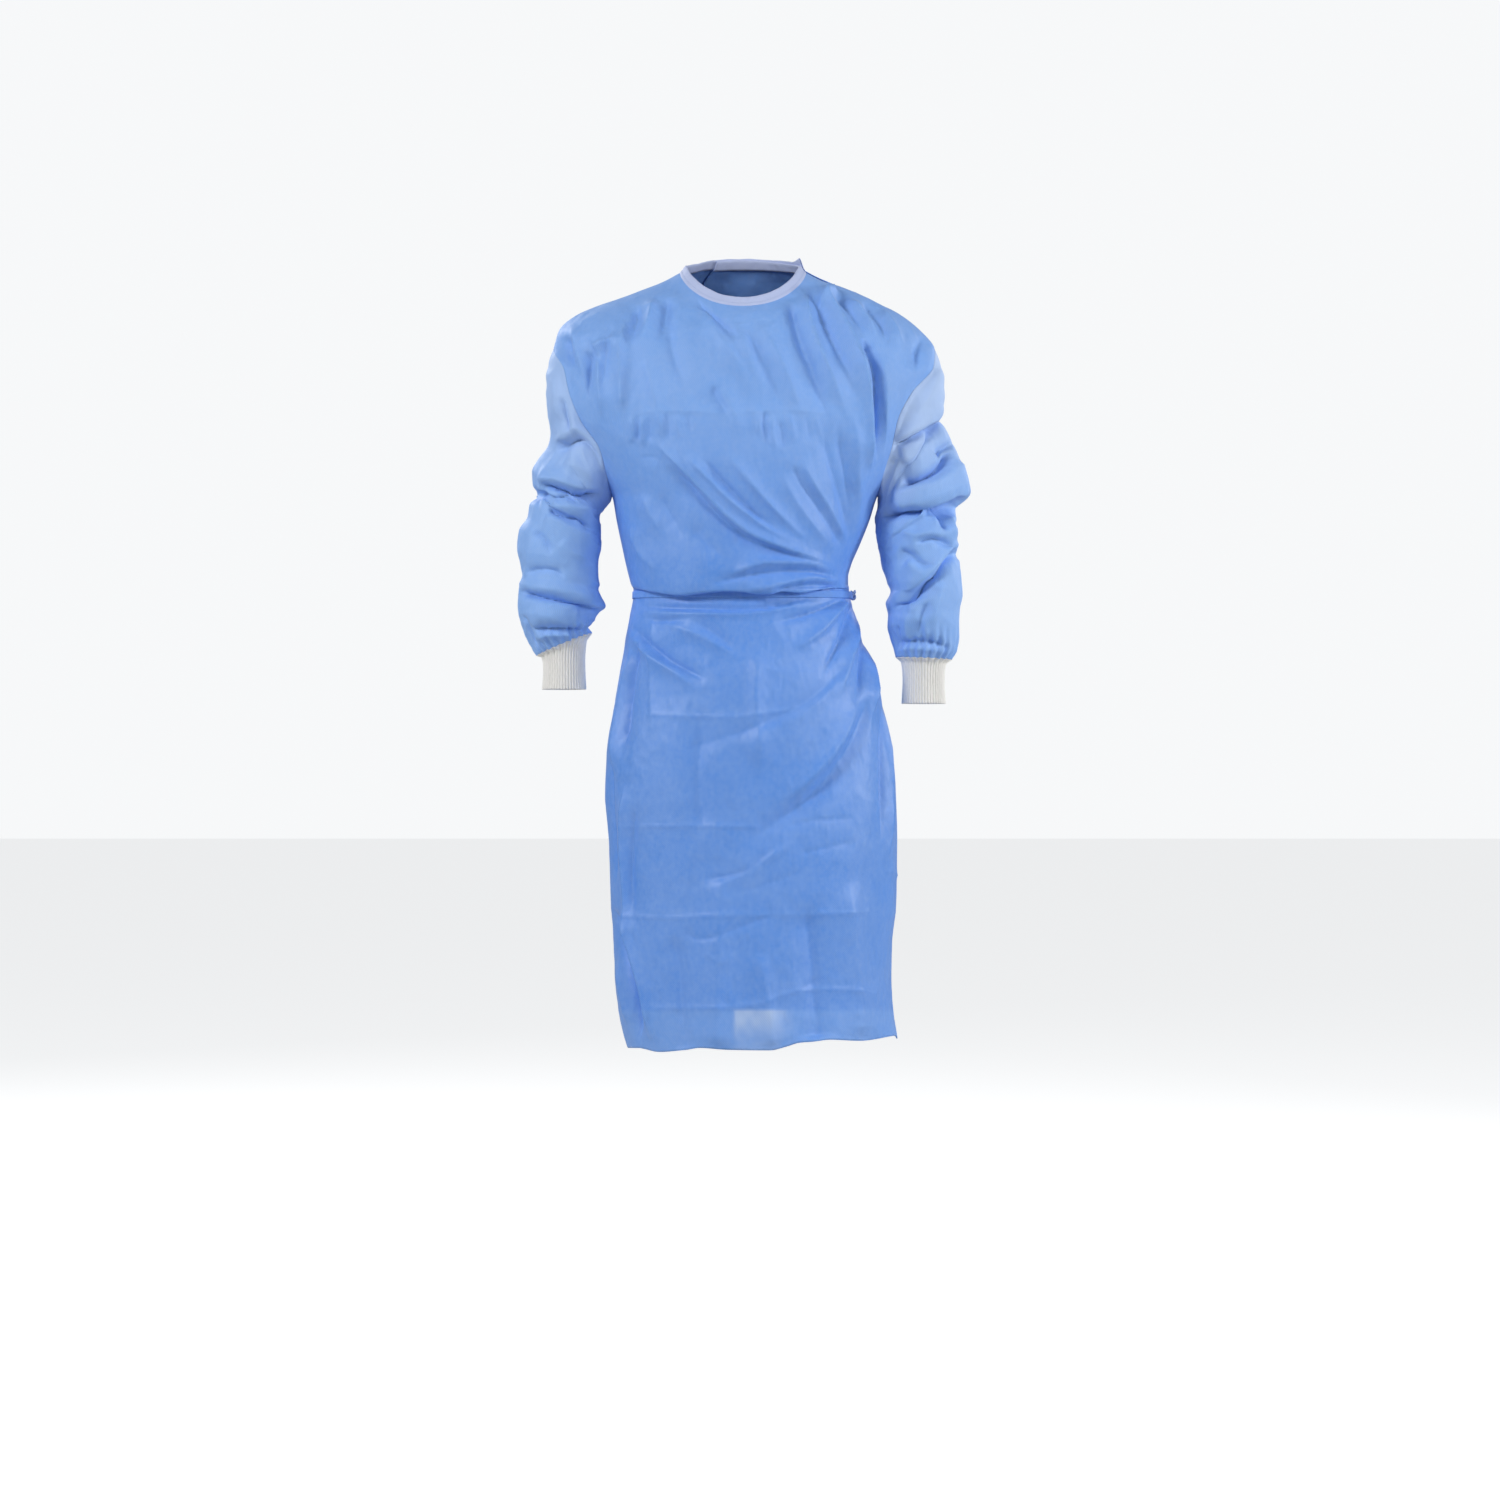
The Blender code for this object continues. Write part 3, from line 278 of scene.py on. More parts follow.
SKIRT_CREASES = [
    Crease(-2.2, 3, 5, 1.3, 0.2, 0.4, (
        (632, 603), (660, 607), (700, 608), (748, 609), (790, 603), (846, 588),
    )),
    Crease(2.2, 4, 5, 1.4, 0.2, 0.4, (
        (634, 609), (668, 613), (712, 614), (760, 612), (812, 600), (850, 590),
    )),
    Crease(-1.8, 3, 4, 1.3, 0.3, 0.5, ((640, 618), (664, 620), (696, 619))),
    Crease(-2.6, 4, 5, 1.3, 0.4, 0.1, ((770, 624), (800, 616), (826, 607), (850, 595))),
    Crease(3.2, 4, 7, 1.3, 0.1, 0.4, ((850, 598), (838, 612), (820, 632), (792, 652))),
    Crease(-3.4, 5, 4, 1.2, 0.1, 0.4, ((853, 602), (848, 622), (836, 650), (818, 680))),
    Crease(4.0, 4, 5, 1.3, 0.1, 0.4, ((858, 604), (857, 628), (850, 660), (838, 700))),
    Crease(-4.0, 4, 4, 1.2, 0.1, 0.4, ((862, 608), (864, 636), (862, 672), (856, 712))),
    Crease(4.0, 4, 4, 1.3, 0.1, 0.4, ((867, 612), (871, 644), (874, 690), (872, 740))),
    Crease(-3.6, 4, 4, 1.3, 0.1, 0.3, ((872, 622), (879, 660), (884, 710), (884, 780), (880, 850))),
    Crease(3.4, 4, 4, 1.3, 0.1, 0.3, ((876, 628), (887, 680), (891, 740), (890, 820), (885, 885))),
    Crease(-3.0, 6, 3, 1.2, 0.3, 0.3, (
        (628, 622), (638, 634), (650, 645), (668, 660), (690, 672), (712, 682),
    )),
    Crease(3.0, 4, 9, 1.4, 0.3, 0.4, ((626, 630), (640, 646), (654, 658), (678, 674), (700, 692))),
    Crease(2.0, 9, 7, 1.6, 0.3, 0.4, ((660, 622), (690, 632), (726, 650), (744, 664))),
    Crease(-1.6, 7, 7, 1.6, 0.3, 0.4, ((690, 618), (716, 634), (742, 656))),
    Crease(-5.0, 6, 7, 1.4, 0.2, 0.3, ((640, 636), (632, 668), (626, 710), (622, 760))),
    Crease(4.0, 5, 8, 1.4, 0.2, 0.3, ((632, 645), (622, 690), (616, 730), (613, 790))),
    Crease(-3.6, 5, 5, 1.3, 0.2, 0.3, ((612, 742), (610, 790), (613, 840), (616, 900))),
    Crease(3.0, 5, 6, 1.4, 0.2, 0.3, ((624, 780), (622, 840), (626, 900), (632, 960))),
    Crease(-2.6, 6, 5, 1.4, 0.2, 0.3, ((634, 800), (630, 870), (634, 930))),
    Crease(-5.5, 5, 4, 1.25, 0.15, 0.2, ((614, 905), (624, 950), (634, 992), (640, 1045))),
    Crease(4.5, 6, 5, 1.4, 0.2, 0.2, ((622, 905), (632, 948), (643, 990), (652, 1040))),
    Crease(3.0, 5, 5, 1.3, 0.3, 0.3, ((616, 960), (622, 990), (630, 1030))),
    Crease(-4.0, 18, 12, 1.6, 0.15, 0.35, (
        (874, 690), (858, 732), (832, 775), (800, 806), (764, 830), (735, 850),
    )),
    Crease(3.0, 9, 9, 1.6, 0.2, 0.4, ((862, 700), (842, 742), (812, 778), (776, 806))),
    Crease(-1.7, 10, 8, 1.6, 0.2, 0.6, (
        (866, 640), (836, 676), (800, 706), (752, 728), (700, 744), (656, 752),
    )),
    Crease(1.6, 10, 8, 1.6, 0.2, 0.6, ((850, 668), (820, 700), (786, 724), (740, 742))),
    Crease(1.8, 10, 12, 1.7, 0.3, 0.4, ((800, 838), (768, 858), (736, 878), (706, 890))),
    Crease(-1.8, 5, 4, 1.3, 0.2, 0.3, ((701, 880), (716, 878), (742, 872), (762, 858), (785, 838))),
    Crease(2.6, 14, 12, 1.7, 0.3, 0.3, ((760, 640), (756, 700), (764, 780))),
    Crease(-2.0, 14, 14, 1.8, 0.3, 0.3, ((704, 700), (698, 780), (706, 850))),
    Crease(3.0, 18, 18, 1.8, 0.2, 0.1, ((722, 860), (718, 960), (716, 1056))),
    Crease(-3.2, 14, 16, 1.7, 0.2, 0.05, ((806, 900), (814, 980), (818, 1050))),
    Crease(2.6, 14, 14, 1.7, 0.2, 0.1, ((848, 880), (856, 960), (862, 1046))),
    Crease(-2.4, 12, 12, 1.7, 0.2, 0.1, ((672, 930), (680, 990), (684, 1056))),
    Crease(2.0, 10, 12, 1.7, 0.2, 0.1, ((760, 950), (768, 1000), (774, 1050))),
    Crease(1.2, 4, 4, 1.3, 0.3, 0.3, ((652, 608), (651, 660), (652, 744))),
]
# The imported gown's creases: where the cloth lay folded, each a thin line that is left in it.
PACKING_CREASES = [
    Crease(1.3, 2.2, 2.6, 1.1, 0.08, 0.25, (
        (643, 714), (690, 716), (733, 717), (768, 713), (822, 703),
    )),
    Crease(1.3, 2.4, 2.2, 1.1, 0.05, 0.2, ((620, 827), (690, 826), (767, 827))),
    Crease(-1.4, 2.2, 2.4, 1.1, 0.2, 0.1, ((784, 828), (812, 821), (856, 818))),
    Crease(1.2, 2.2, 2.2, 1.1, 0.05, 0.1, (
        (612, 914), (667, 918), (733, 915), (800, 915), (884, 911),
    )),
    Crease(-1.2, 2.4, 2.4, 1.1, 0.2, 0.3, ((740, 893), (768, 884), (808, 869))),
    Crease(-1.2, 2.4, 2.4, 1.1, 0.2, 0.2, ((796, 855), (826, 848), (856, 841))),
    Crease(-1.6, 3, 2.4, 1.2, 0.1, 0.3, (
        (680, 927), (697, 939), (712, 938), (730, 931), (760, 920), (790, 912),
    )),
    Crease(1.0, 2.2, 2.2, 1.2, 0.2, 0.2, ((816, 908), (824, 914), (832, 907))),
    Crease(1.3, 2.4, 3, 1.2, 0.1, 0.1, (
        (636, 1007), (690, 1008), (738, 1007), (762, 1003), (786, 994), (820, 989), (852, 990),
        (884, 996),
    )),
    Crease(-1.0, 2.4, 2.4, 1.2, 0.2, 0.3, ((790, 1000), (812, 984), (826, 976))),
    Crease(1.1, 2.4, 2.4, 1.2, 0.2, 0.3, ((704, 952), (722, 962), (736, 950))),
    Crease(-0.9, 2.4, 2.4, 1.2, 0.2, 0.3, ((724, 800), (734, 812), (748, 806))),
    Crease(1.2, 2.4, 2.6, 1.2, 0.2, 0.2, (
        (626, 413), (680, 411), (730, 413), (780, 410), (846, 414),
    )),
    Crease(-1.0, 2.4, 2.4, 1.2, 0.2, 0.2, ((638, 458), (648, 457), (660, 458))),
    Crease(1.0, 2.4, 2.4, 1.2, 0.2, 0.2, ((885, 874), (892, 872), (900, 878))),
]
FRONT_CREASES = YOKE_CREASES + CHEST_CREASES + SKIRT_CREASES

SLEEVE_RIGHT_CREASES = [
    Crease(-4.0, 6, 5, 1.4, 0.2, 0.4, ((556, 350), (566, 372), (576, 400), (590, 424))),
    Crease(3.4, 6, 7, 1.5, 0.2, 0.4, ((548, 365), (556, 395), (560, 425))),
    Crease(-3.0, 5, 5, 1.4, 0.2, 0.4, ((562, 395), (566, 420), (574, 440))),
    Crease(4.0, 8, 5, 1.3, 0.2, 0.3, ((550, 446), (562, 438), (578, 428), (594, 436), (612, 462))),
    Crease(-5.0, 5, 6, 1.3, 0.2, 0.3, ((553, 452), (566, 445), (580, 440), (594, 452), (604, 474))),
    Crease(3.0, 7, 8, 1.5, 0.2, 0.4, ((562, 462), (580, 468), (598, 484))),
    Crease(-8.0, 4, 4, 1.2, 0.1, 0.3, ((540, 485), (555, 487), (576, 494), (592, 497), (606, 492))),
    Crease(6.0, 7, 4, 1.3, 0.1, 0.3, ((536, 478), (556, 480), (578, 487), (600, 488))),
    Crease(-4.0, 3, 3, 1.2, 0.1, 0.3, ((536, 493), (555, 499), (566, 496), (578, 501), (590, 503))),
    Crease(5.0, 4, 5, 1.3, 0.1, 0.3, ((540, 500), (558, 505), (578, 508), (600, 509))),
    Crease(-4.0, 3, 3, 1.2, 0.1, 0.3, ((549, 510), (566, 517), (580, 522), (594, 532))),
    Crease(4.4, 4, 8, 1.4, 0.1, 0.4, ((546, 516), (566, 526), (584, 534), (602, 536))),
    Crease(-3.0, 6, 6, 1.5, 0.2, 0.4, ((532, 530), (545, 540), (552, 556))),
    Crease(3.0, 6, 6, 1.5, 0.2, 0.4, ((560, 540), (572, 552), (590, 560))),
    Crease(-3.0, 5, 4, 1.4, 0.2, 0.3, ((526, 572), (540, 570), (556, 572), (566, 580))),
    Crease(6.0, 8, 4, 1.3, 0.1, 0.2, ((519, 584), (536, 587), (560, 590), (580, 595), (598, 603))),
    Crease(-8.0, 3.5, 5, 1.2, 0.1, 0.2, (
        (520, 591), (536, 595), (560, 599), (578, 604), (598, 612),
    )),
    Crease(3.4, 4, 5, 1.3, 0.2, 0.3, ((580, 590), (590, 582), (602, 588))),
    Crease(-3.6, 4, 4, 1.3, 0.2, 0.3, ((577, 602), (584, 610), (594, 612), (605, 606))),
    Crease(4.0, 6, 6, 1.4, 0.2, 0.3, ((528, 612), (550, 616), (572, 622), (594, 622))),
    Crease(-4.0, 4, 4, 1.3, 0.2, 0.3, ((528, 626), (548, 630), (566, 629), (593, 632))),
    Crease(3.4, 3, 3, 1.3, 0.2, 0.3, ((534, 638), (552, 634), (572, 636), (592, 638))),
    Crease(-3.0, 4, 4, 1.3, 0.2, 0.3, ((524, 612), (530, 634), (538, 652))),
    Crease(3.0, 4, 4, 1.3, 0.2, 0.3, ((530, 608), (536, 628), (544, 644))),
]
SLEEVE_LEFT_CREASES = [
    Crease(-4.0, 6, 6, 1.4, 0.2, 0.4, ((934, 352), (926, 372), (914, 396), (902, 424))),
    Crease(3.6, 7, 6, 1.4, 0.2, 0.4, ((940, 366), (930, 392), (916, 414))),
    Crease(-3.0, 5, 5, 1.4, 0.2, 0.4, ((908, 400), (902, 424), (896, 440))),
    Crease(7.0, 5, 8, 1.3, 0.1, 0.3, ((892, 440), (906, 434), (922, 424), (936, 412), (944, 404))),
    Crease(-8.0, 4, 4, 1.2, 0.1, 0.3, ((890, 447), (908, 440), (926, 430), (941, 418))),
    Crease(-5.0, 6, 4, 1.3, 0.1, 0.4, ((887, 462), (890, 450), (894, 441))),
    Crease(4.0, 8, 8, 1.5, 0.2, 0.4, ((900, 462), (918, 452), (938, 436))),
    Crease(-9.0, 4, 3, 1.2, 0.1, 0.1, ((900, 484), (914, 481), (930, 475), (942, 467), (954, 451))),
    Crease(7.0, 4, 9, 1.4, 0.1, 0.2, ((892, 497), (914, 491), (936, 484), (956, 470), (966, 460))),
    Crease(-6.0, 5, 4, 1.2, 0.2, 0.2, ((938, 456), (944, 448), (954, 443))),
    Crease(3.4, 5, 7, 1.4, 0.2, 0.2, ((886, 504), (908, 500), (932, 496), (958, 486), (970, 480))),
    Crease(-10.0, 3.5, 5, 1.2, 0.1, 0.1, (
        (880, 516), (894, 514), (912, 513), (932, 512), (952, 507), (968, 499),
    )),
    Crease(-5.0, 5, 4, 1.3, 0.1, 0.3, ((942, 508), (943, 518), (946, 532))),
    Crease(4.0, 4, 5, 1.3, 0.1, 0.3, ((934, 514), (936, 526), (940, 540))),
    Crease(3.4, 5, 5, 1.3, 0.2, 0.4, ((950, 512), (953, 528), (952, 545))),
    Crease(-3.6, 4, 5, 1.25, 0.2, 0.3, ((914, 543), (931, 539), (946, 544), (957, 556))),
    Crease(3.4, 5, 4, 1.3, 0.2, 0.3, ((900, 530), (916, 536), (934, 532), (950, 538))),
    Crease(-3.0, 4, 5, 1.25, 0.2, 0.3, ((898, 548), (912, 556), (925, 564), (938, 566))),
    Crease(3.0, 4, 5, 1.3, 0.2, 0.3, ((906, 560), (918, 572), (928, 580))),
    Crease(6.0, 5, 7, 1.35, 0.1, 0.2, (
        (960, 540), (946, 552), (936, 566), (920, 580), (900, 594), (888, 602),
    )),
    Crease(-8.0, 5, 3.5, 1.2, 0.1, 0.2, (
        (960, 549), (948, 560), (938, 574), (922, 588), (904, 602), (890, 610),
    )),
    Crease(3.0, 7, 7, 1.4, 0.2, 0.4, ((944, 580), (938, 604), (930, 628))),
    Crease(-3.0, 5, 5, 1.3, 0.2, 0.4, ((930, 600), (920, 622), (916, 644))),
    Crease(3.0, 5, 5, 1.3, 0.2, 0.4, ((908, 612), (906, 632), (908, 650))),
    Crease(-2.6, 4, 4, 1.3, 0.2, 0.4, ((898, 624), (900, 640), (902, 654))),
    Crease(-3.6, 4, 4, 1.3, 0.2, 0.3, ((894, 646), (912, 642), (934, 643), (952, 650))),
    Crease(3.0, 3, 3, 1.3, 0.2, 0.3, ((894, 652), (912, 649), (934, 650), (950, 656))),
]
# Folds of the back, placed as if the camera saw it through the front, in the same steps.
BACK_CREASES = [
    Crease(7.0, 10, 12, 1.5, 0.05, 0.6, ((662, 590), (660, 520), (656, 450))),
    Crease(-7.0, 9, 10, 1.4, 0.05, 0.6, ((690, 590), (686, 530), (680, 470))),
    Crease(8.0, 12, 9, 1.5, 0.05, 0.6, ((721, 590), (719, 520), (716, 450))),
    Crease(-7.0, 10, 9, 1.4, 0.05, 0.6, ((752, 590), (752, 530), (752, 480))),
    Crease(7.0, 9, 12, 1.5, 0.05, 0.6, ((784, 590), (788, 530), (796, 450))),
    Crease(8.0, 10, 12, 1.5, 0.05, 0.6, ((658, 602), (650, 680), (640, 790))),
    Crease(-8.0, 9, 10, 1.4, 0.05, 0.6, ((686, 602), (682, 670), (675, 740))),
    Crease(9.0, 12, 11, 1.5, 0.05, 0.6, ((715, 602), (710, 720), (706, 860))),
    Crease(-8.0, 9, 11, 1.4, 0.05, 0.6, ((746, 602), (745, 680), (744, 760))),
    Crease(8.0, 11, 10, 1.5, 0.05, 0.6, ((778, 602), (784, 700), (788, 850))),
    Crease(-6.0, 9, 9, 1.4, 0.05, 0.6, ((807, 602), (816, 670), (825, 740))),
    Crease(5.5, 14, 15, 1.7, 0.2, 0.4, ((699, 304), (670, 350), (634, 436))),
    Crease(-3.5, 10, 10, 1.6, 0.2, 0.4, ((712, 306), (690, 360), (668, 440))),
    Crease(5.5, 15, 14, 1.7, 0.2, 0.4, ((780, 304), (806, 350), (845, 436))),
    Crease(-3.5, 10, 10, 1.6, 0.2, 0.4, ((766, 306), (786, 360), (812, 440))),
    Crease(-7.0, 16, 18, 1.7, 0.05, 0.4, ((667, 1056), (668, 940), (673, 815))),
    Crease(6.5, 15, 17, 1.7, 0.05, 0.4, ((714, 1056), (716, 950), (721, 845))),
    Crease(-7.0, 16, 16, 1.7, 0.05, 0.4, ((762, 1056), (761, 960), (760, 860))),
    Crease(6.5, 15, 15, 1.7, 0.05, 0.4, ((804, 1056), (803, 940), (801, 830))),
    Crease(0.7, 3.0, 3.0, 1.2, 0.2, 0.2, ((645, 716), (700, 714), (770, 717), (850, 713))),
    Crease(0.8, 3.0, 3.0, 1.2, 0.2, 0.3, ((640, 828), (700, 826), (770, 828))),
    Crease(-0.7, 3.0, 3.0, 1.2, 0.2, 0.2, ((700, 914), (780, 917), (860, 913))),
]

# Random small creases of handled nonwoven: the size of their cells, how high they stand, how
# far they are drawn out up and down, and the seed.
Crumple = namedtuple("Crumple", "cell rise stretch seed")
CRUMPLES = [
    Crumple(92.0, 1.9, 1.5, 11),
    Crumple(44.0, 1.45, 1.5, 12),
    Crumple(21.0, 0.75, 1.3, 13),
    Crumple(11.0, 0.22, 1.0, 14),
]

CRUMPLE_RIDGE = 0.55
FRONT_SEED = 0
BACK_SEED = 20

# How strongly the creases of the tables show, in the middle of the front and at its sides, as
# packing lines, on the back and on the sleeves, and what their flanks are like.
BODY_GAIN = 2.9
SIDE_GAIN = 0.7
PACKING_GAIN = 1.5
BACK_GAIN = 1.5
SLEEVE_GAIN = 2.8
CREST_POWER = 0.72
CREASE_WIDTH = 0.82
CREASE_REACH = 3

# How far in from a panel's sides its creases, its seams, its blouse and its hem change, as
# shares of half its width.
SIDE_BLEND = 0.3
SEAM_BLEND = 0.16
BLOUSE_BLEND = 0.13
HEM_BLEND = 0.2

# Rows of the body's table over which the cloth is held flat, at the neck and by the belt.
NECK_FLAT = 0.2
NECK_FADE = 1.5
BELT_FLAT = 0.5
BELT_FADE = 1.2
BELT_PRESS = 0.85

# The widths of the panels' grids, their spacing behind, and how finely a table is sampled.
FRONT_SPAN = 560
WRAP_SPAN = 470
UNDER_SPAN = 360
BACK_STEP = 6.0
BODY_SAMPLES = 3001
SLEEVE_SAMPLES = 2001

# The film on the front: its upper edge, its pale band at the hem and the patch there that light
# shows through, in steps of the camera's view, with the width and the strength of each change.
# The back has one tone all over.
FILM_EDGE = 413.0
FILM_EDGE_SHARE = 0.2
FILM_EDGE_WIDTH = 12
FILM_DEEPENING = 170
FILM_SMOOTHING = 0.35
FILM_SMOOTHING_WIDTH = 30
BAND_EDGE = 1008.0
BAND_EDGE_WIDTH = 5
BAND_PALENESS = 0.45
# The patch is painted light, made paler where light shows through the cloth.
PATCH_LEFT = 732
PATCH_RIGHT = 800
PATCH_LEFT_WIDTH = 5
PATCH_RIGHT_WIDTH = 34
PATCH_TOP_WIDTH = 4
PATCH_FADE_TOP = 1018
PATCH_FADE_WIDTH = 24
PATCH_FADE = 0.7
STREAK_SIZE = (7, 11)
STREAK_LEAST = 0.35
STREAK_SEED = 77
BACK_TONE = 0.4

# The sleeves: the fineness of their grid, the height that their ridges stay below, where their
# creases lie behind, how they are held at both ends and how they are gathered.
SLEEVE_FINENESS = 0.8
SLEEVE_RIDGE = 6.5
SLEEVE_CRUMPLE = 1.5
SLEEVE_SEAM_BLEND = 0.1
BEHIND_DROP = 19.0
ARMHOLE_BLEND_ROWS = 5
ARMHOLE_HOLD_ROWS = 1.6
CUFF_HOLD_ROWS = 1.2
SLEEVE_GATHERS = 24
GATHER_DEPTH = 2.4
GATHER_MIDDLE = 0.7
GATHER_SPREAD = 0.5
GATHER_SIZE = (3.1, 0.4)
GATHER_ROWS = 3
GATHER_FADE_ROWS = 2
# Painted light on each sleeve's upper part, where light shows through the thin cloth: how far down
# the sleeve it reaches, how it fades and how much lies on the whole sleeve.
SLEEVE_PALE_LENGTH = 0.45
SLEEVE_PALE_POWER = 0.7
SLEEVE_PALE_LEAST = 0.04

# Each sleeve with its tables, the back panel and the column of the body that it is sewn to,
# its seed and how much painted light its top gets, where light shows through its thin cloth.
Sleeve = namedtuple("Sleeve", "node rings creases back column seed pale")
SLEEVES = [
    Sleeve("sleeve_right", SLEEVE_RIGHT, SLEEVE_RIGHT_CREASES, "back_wrap", 0, 40, 0.5),
    Sleeve("sleeve_left", SLEEVE_LEFT, SLEEVE_LEFT_CREASES, "back_under", -1, 60, 0.8),
]

# Two lines that the camera sees, as places across its view and heights down it, in its steps:
# the lower edge of the cloth that blouses over the belt, and the hem in front.
Spot = namedtuple("Spot", "across down")
BLOUSE_EDGE = [
    Spot(632, 587), Spot(652, 592), Spot(680, 595), Spot(700, 593), Spot(721, 591.5),
    Spot(760, 592.5), Spot(796, 593), Spot(826, 590), Spot(846, 586),
]
BLOUSE_RINGS = (14.5, 18.2, 20.4)
HEM_EDGE = [
    Spot(640, 1048), Spot(660, 1052), Spot(685, 1050), Spot(700, 1048), Spot(730, 1050),
    Spot(770, 1050.5), Spot(786, 1047), Spot(800, 1043), Spot(812, 1042), Spot(830, 1040),
    Spot(860, 1041), Spot(893, 1036),
]
HEM_REACH = 90.0
HEM_WAVE_BEHIND = 3.5
HEM_WAVES_BEHIND = 8.3

# The tape folded round the neck's edge: how far each of its lines lies above the neckline and
# off the cloth, from its lower edge outside over its fold to its lower edge inside.
TapeLine = namedtuple("TapeLine", "rise proud")
TAPE = [
    TapeLine(-3.6, 0.9), TapeLine(-3.2, 1.2), TapeLine(0, 1.3), TapeLine(1.4, 0.85),
    TapeLine(4, 1.05), TapeLine(7.5, 1.1), TapeLine(10.4, 1.0), TapeLine(11.4, 0.3),
    TapeLine(11.5, -0.7), TapeLine(10.6, -1.3), TapeLine(7, -1.4), TapeLine(3, -1.4),
    TapeLine(0, -1.6), TapeLine(-3.4, -1.6),
]
TAPE_STITCHED_LINE = 3
TAPE_FOLD_LINE = 7
TAPE_RIPPLED_ABOVE = 2
TAPE_RIPPLE = 0.28
TAPE_RIPPLE_LENGTH = 5
TAPE_RIPPLE_HEIGHT = 6
TAPE_RIPPLE_SEED = 61
TAPE_WANDER = 0.5
TAPE_WANDER_LENGTH = 17
TAPE_WANDER_SEED = 62
TAPE_UPRIGHT = 0.4
TAPE_STEP = 1.5
TAPE_LAP = 24.0
TAPE_LAP_RISE = 5.0
TAPE_LAP_OUT = 5.0
TAPE_SHELL = 0.5

# The belt, its knot, which is a flat band on an overhand knot's loops, and their places.
BELT_LINES = 9
BELT_RIPPLE = 0.35
BELT_RIPPLE_LENGTH = 7
BELT_RIPPLE_SEED = 63
BELT_LIFT = 1.2
BELT_BULGE = 0.2
BELT_CLEAR_OF_EDGE = 8.0
KNOT_PLACE = 0.87
KNOT_HALF_SIZES = (7.0, 3.5, 8.0)
KNOT_STAND_OFF = 9.1
KNOT_BAND = (2.6, 1.2)
KNOT_RINGS = 96
KNOT_SIDES = 12
KNOT_PINCHES = 5
KNOT_PINCH = 0.12
# The knot's painted highlight: the knot sits in shade behind the hip and is painted pale.
KNOT_PAINTED_HIGHLIGHT = 1.0

# A free end of the belt: its places round the back at its top and its tip, the rows of the
# body's table between which it hangs, how far its tip curls off the cloth, and its length.
TieEnd = namedtuple("TieEnd", "name place_top place_tip ring_top ring_tip curl length")
TIE_ENDS = [
    TieEnd("belt_end_long", 0.88, 0.845, 22.1, 26.2, 0.8, 148),
    TieEnd("belt_end_short", 0.822, 0.79, 22.1, 25.3, 2.0, 104),
]
TIE_WIDTH = 10.0
TIE_LIFT = 1.6
TIE_ROWS = 40
TIE_COLUMNS = 8
TIE_CUP = 0.5
TIE_WAVE = 0.8
TIE_WAVES = 9

CUFF_RIBS = 46
CUFF_ROWS = 44
CUFF_TILT = 0.8
CUFF_SHELLS = 1.6
RIB_COLUMNS = 6
RIB_DEPTH = 0.9
RIB_FADE = 5
COURSE_DEPTH = 0.12
COURSE_PITCH = 2.2

# Finishes that a user of the gown wouldn't change, with pitches in metres.
BOND_PITCH = 0.0018
KNIT_PITCH = 0.0022
CLOTH_ROUGHNESS = 0.44
TRIM_ROUGHNESS = 0.50
BARE_CLOTH_ROUGHER = 0.18
TAPE_FIBRE_COLOUR = (0.62, 0.68, 0.84)
TAPE_THREAD_COLOUR = (0.30, 0.42, 0.70)
CUFF_THREAD_COLOUR = (0.66, 0.70, 0.80)
# The knit's darker yarn tone, which is also painted as shade into the valleys between the ribs.
KNIT_SHADE = (0.62, 0.61, 0.60)

# A row of stitches: their length, the gap between them and the thread's radius.
Seam = namedtuple("Seam", "length gap radius")
TAPE_SEAM = Seam(2.5, 1.3, 0.28)
CUFF_SEAM = Seam(3.2, 0.9, 0.34)
THREAD_SIDES = 6
THREAD_RINGS = 5
SEAM_STEP = 0.5

# A cloth piece's cut: its flat width and length in metres, and its flat area in square metres
# where the cut isn't a rectangle. No piece here is given one.
Cut = namedtuple("Cut", "flat area")

# The stage: a wide floor and a plain sky, both shown paler to the camera than they light.
FLOOR_SIZE = 60
FLOOR_COLOUR = (0.62, 0.62, 0.62, 1)
FLOOR_ROUGHNESS = 0.8
FLOOR_GLOW_COLOUR = (0.96, 0.97, 0.98, 1)
FLOOR_GLOW = 0.74
SKY_COLOUR = (0.96, 0.98, 1.0, 1)
SKY_STRENGTH = 0.20
WALL_COLOUR = (0.93, 0.94, 0.95, 1)
SENSOR_WIDTH = 36

# One softbox for each row: its place and its aim, its size in metres and its power in watts.
Softbox = namedtuple("Softbox", "name place aim size power")
SOFTBOXES = [
    Softbox("Left key softbox", (-2.9, -2.9, 1.9), (0, 0, -0.6), 1.0, 104),
    Softbox("Right key softbox", (2.7, -3.1, 1.2), (0, 0, -0.6), 1.2, 50),
    Softbox("Left strip softbox", (-3.0, -0.9, 0.2), (0, 0, -0.7), 0.6, 10),
    Softbox("Right strip softbox", (3.0, -0.7, 0.2), (0, 0, -0.7), 0.6, 36),
    Softbox("Back left softbox", (-2.2, 3.2, 1.7), (0, 0, -0.5), 1.0, 66),
    Softbox("Back right softbox", (2.6, 2.6, 0.8), (0, 0, -0.5), 1.2, 26),
]

# The grids of the body and the sleeves, each worked out once and used by later pieces.
STORE = {}


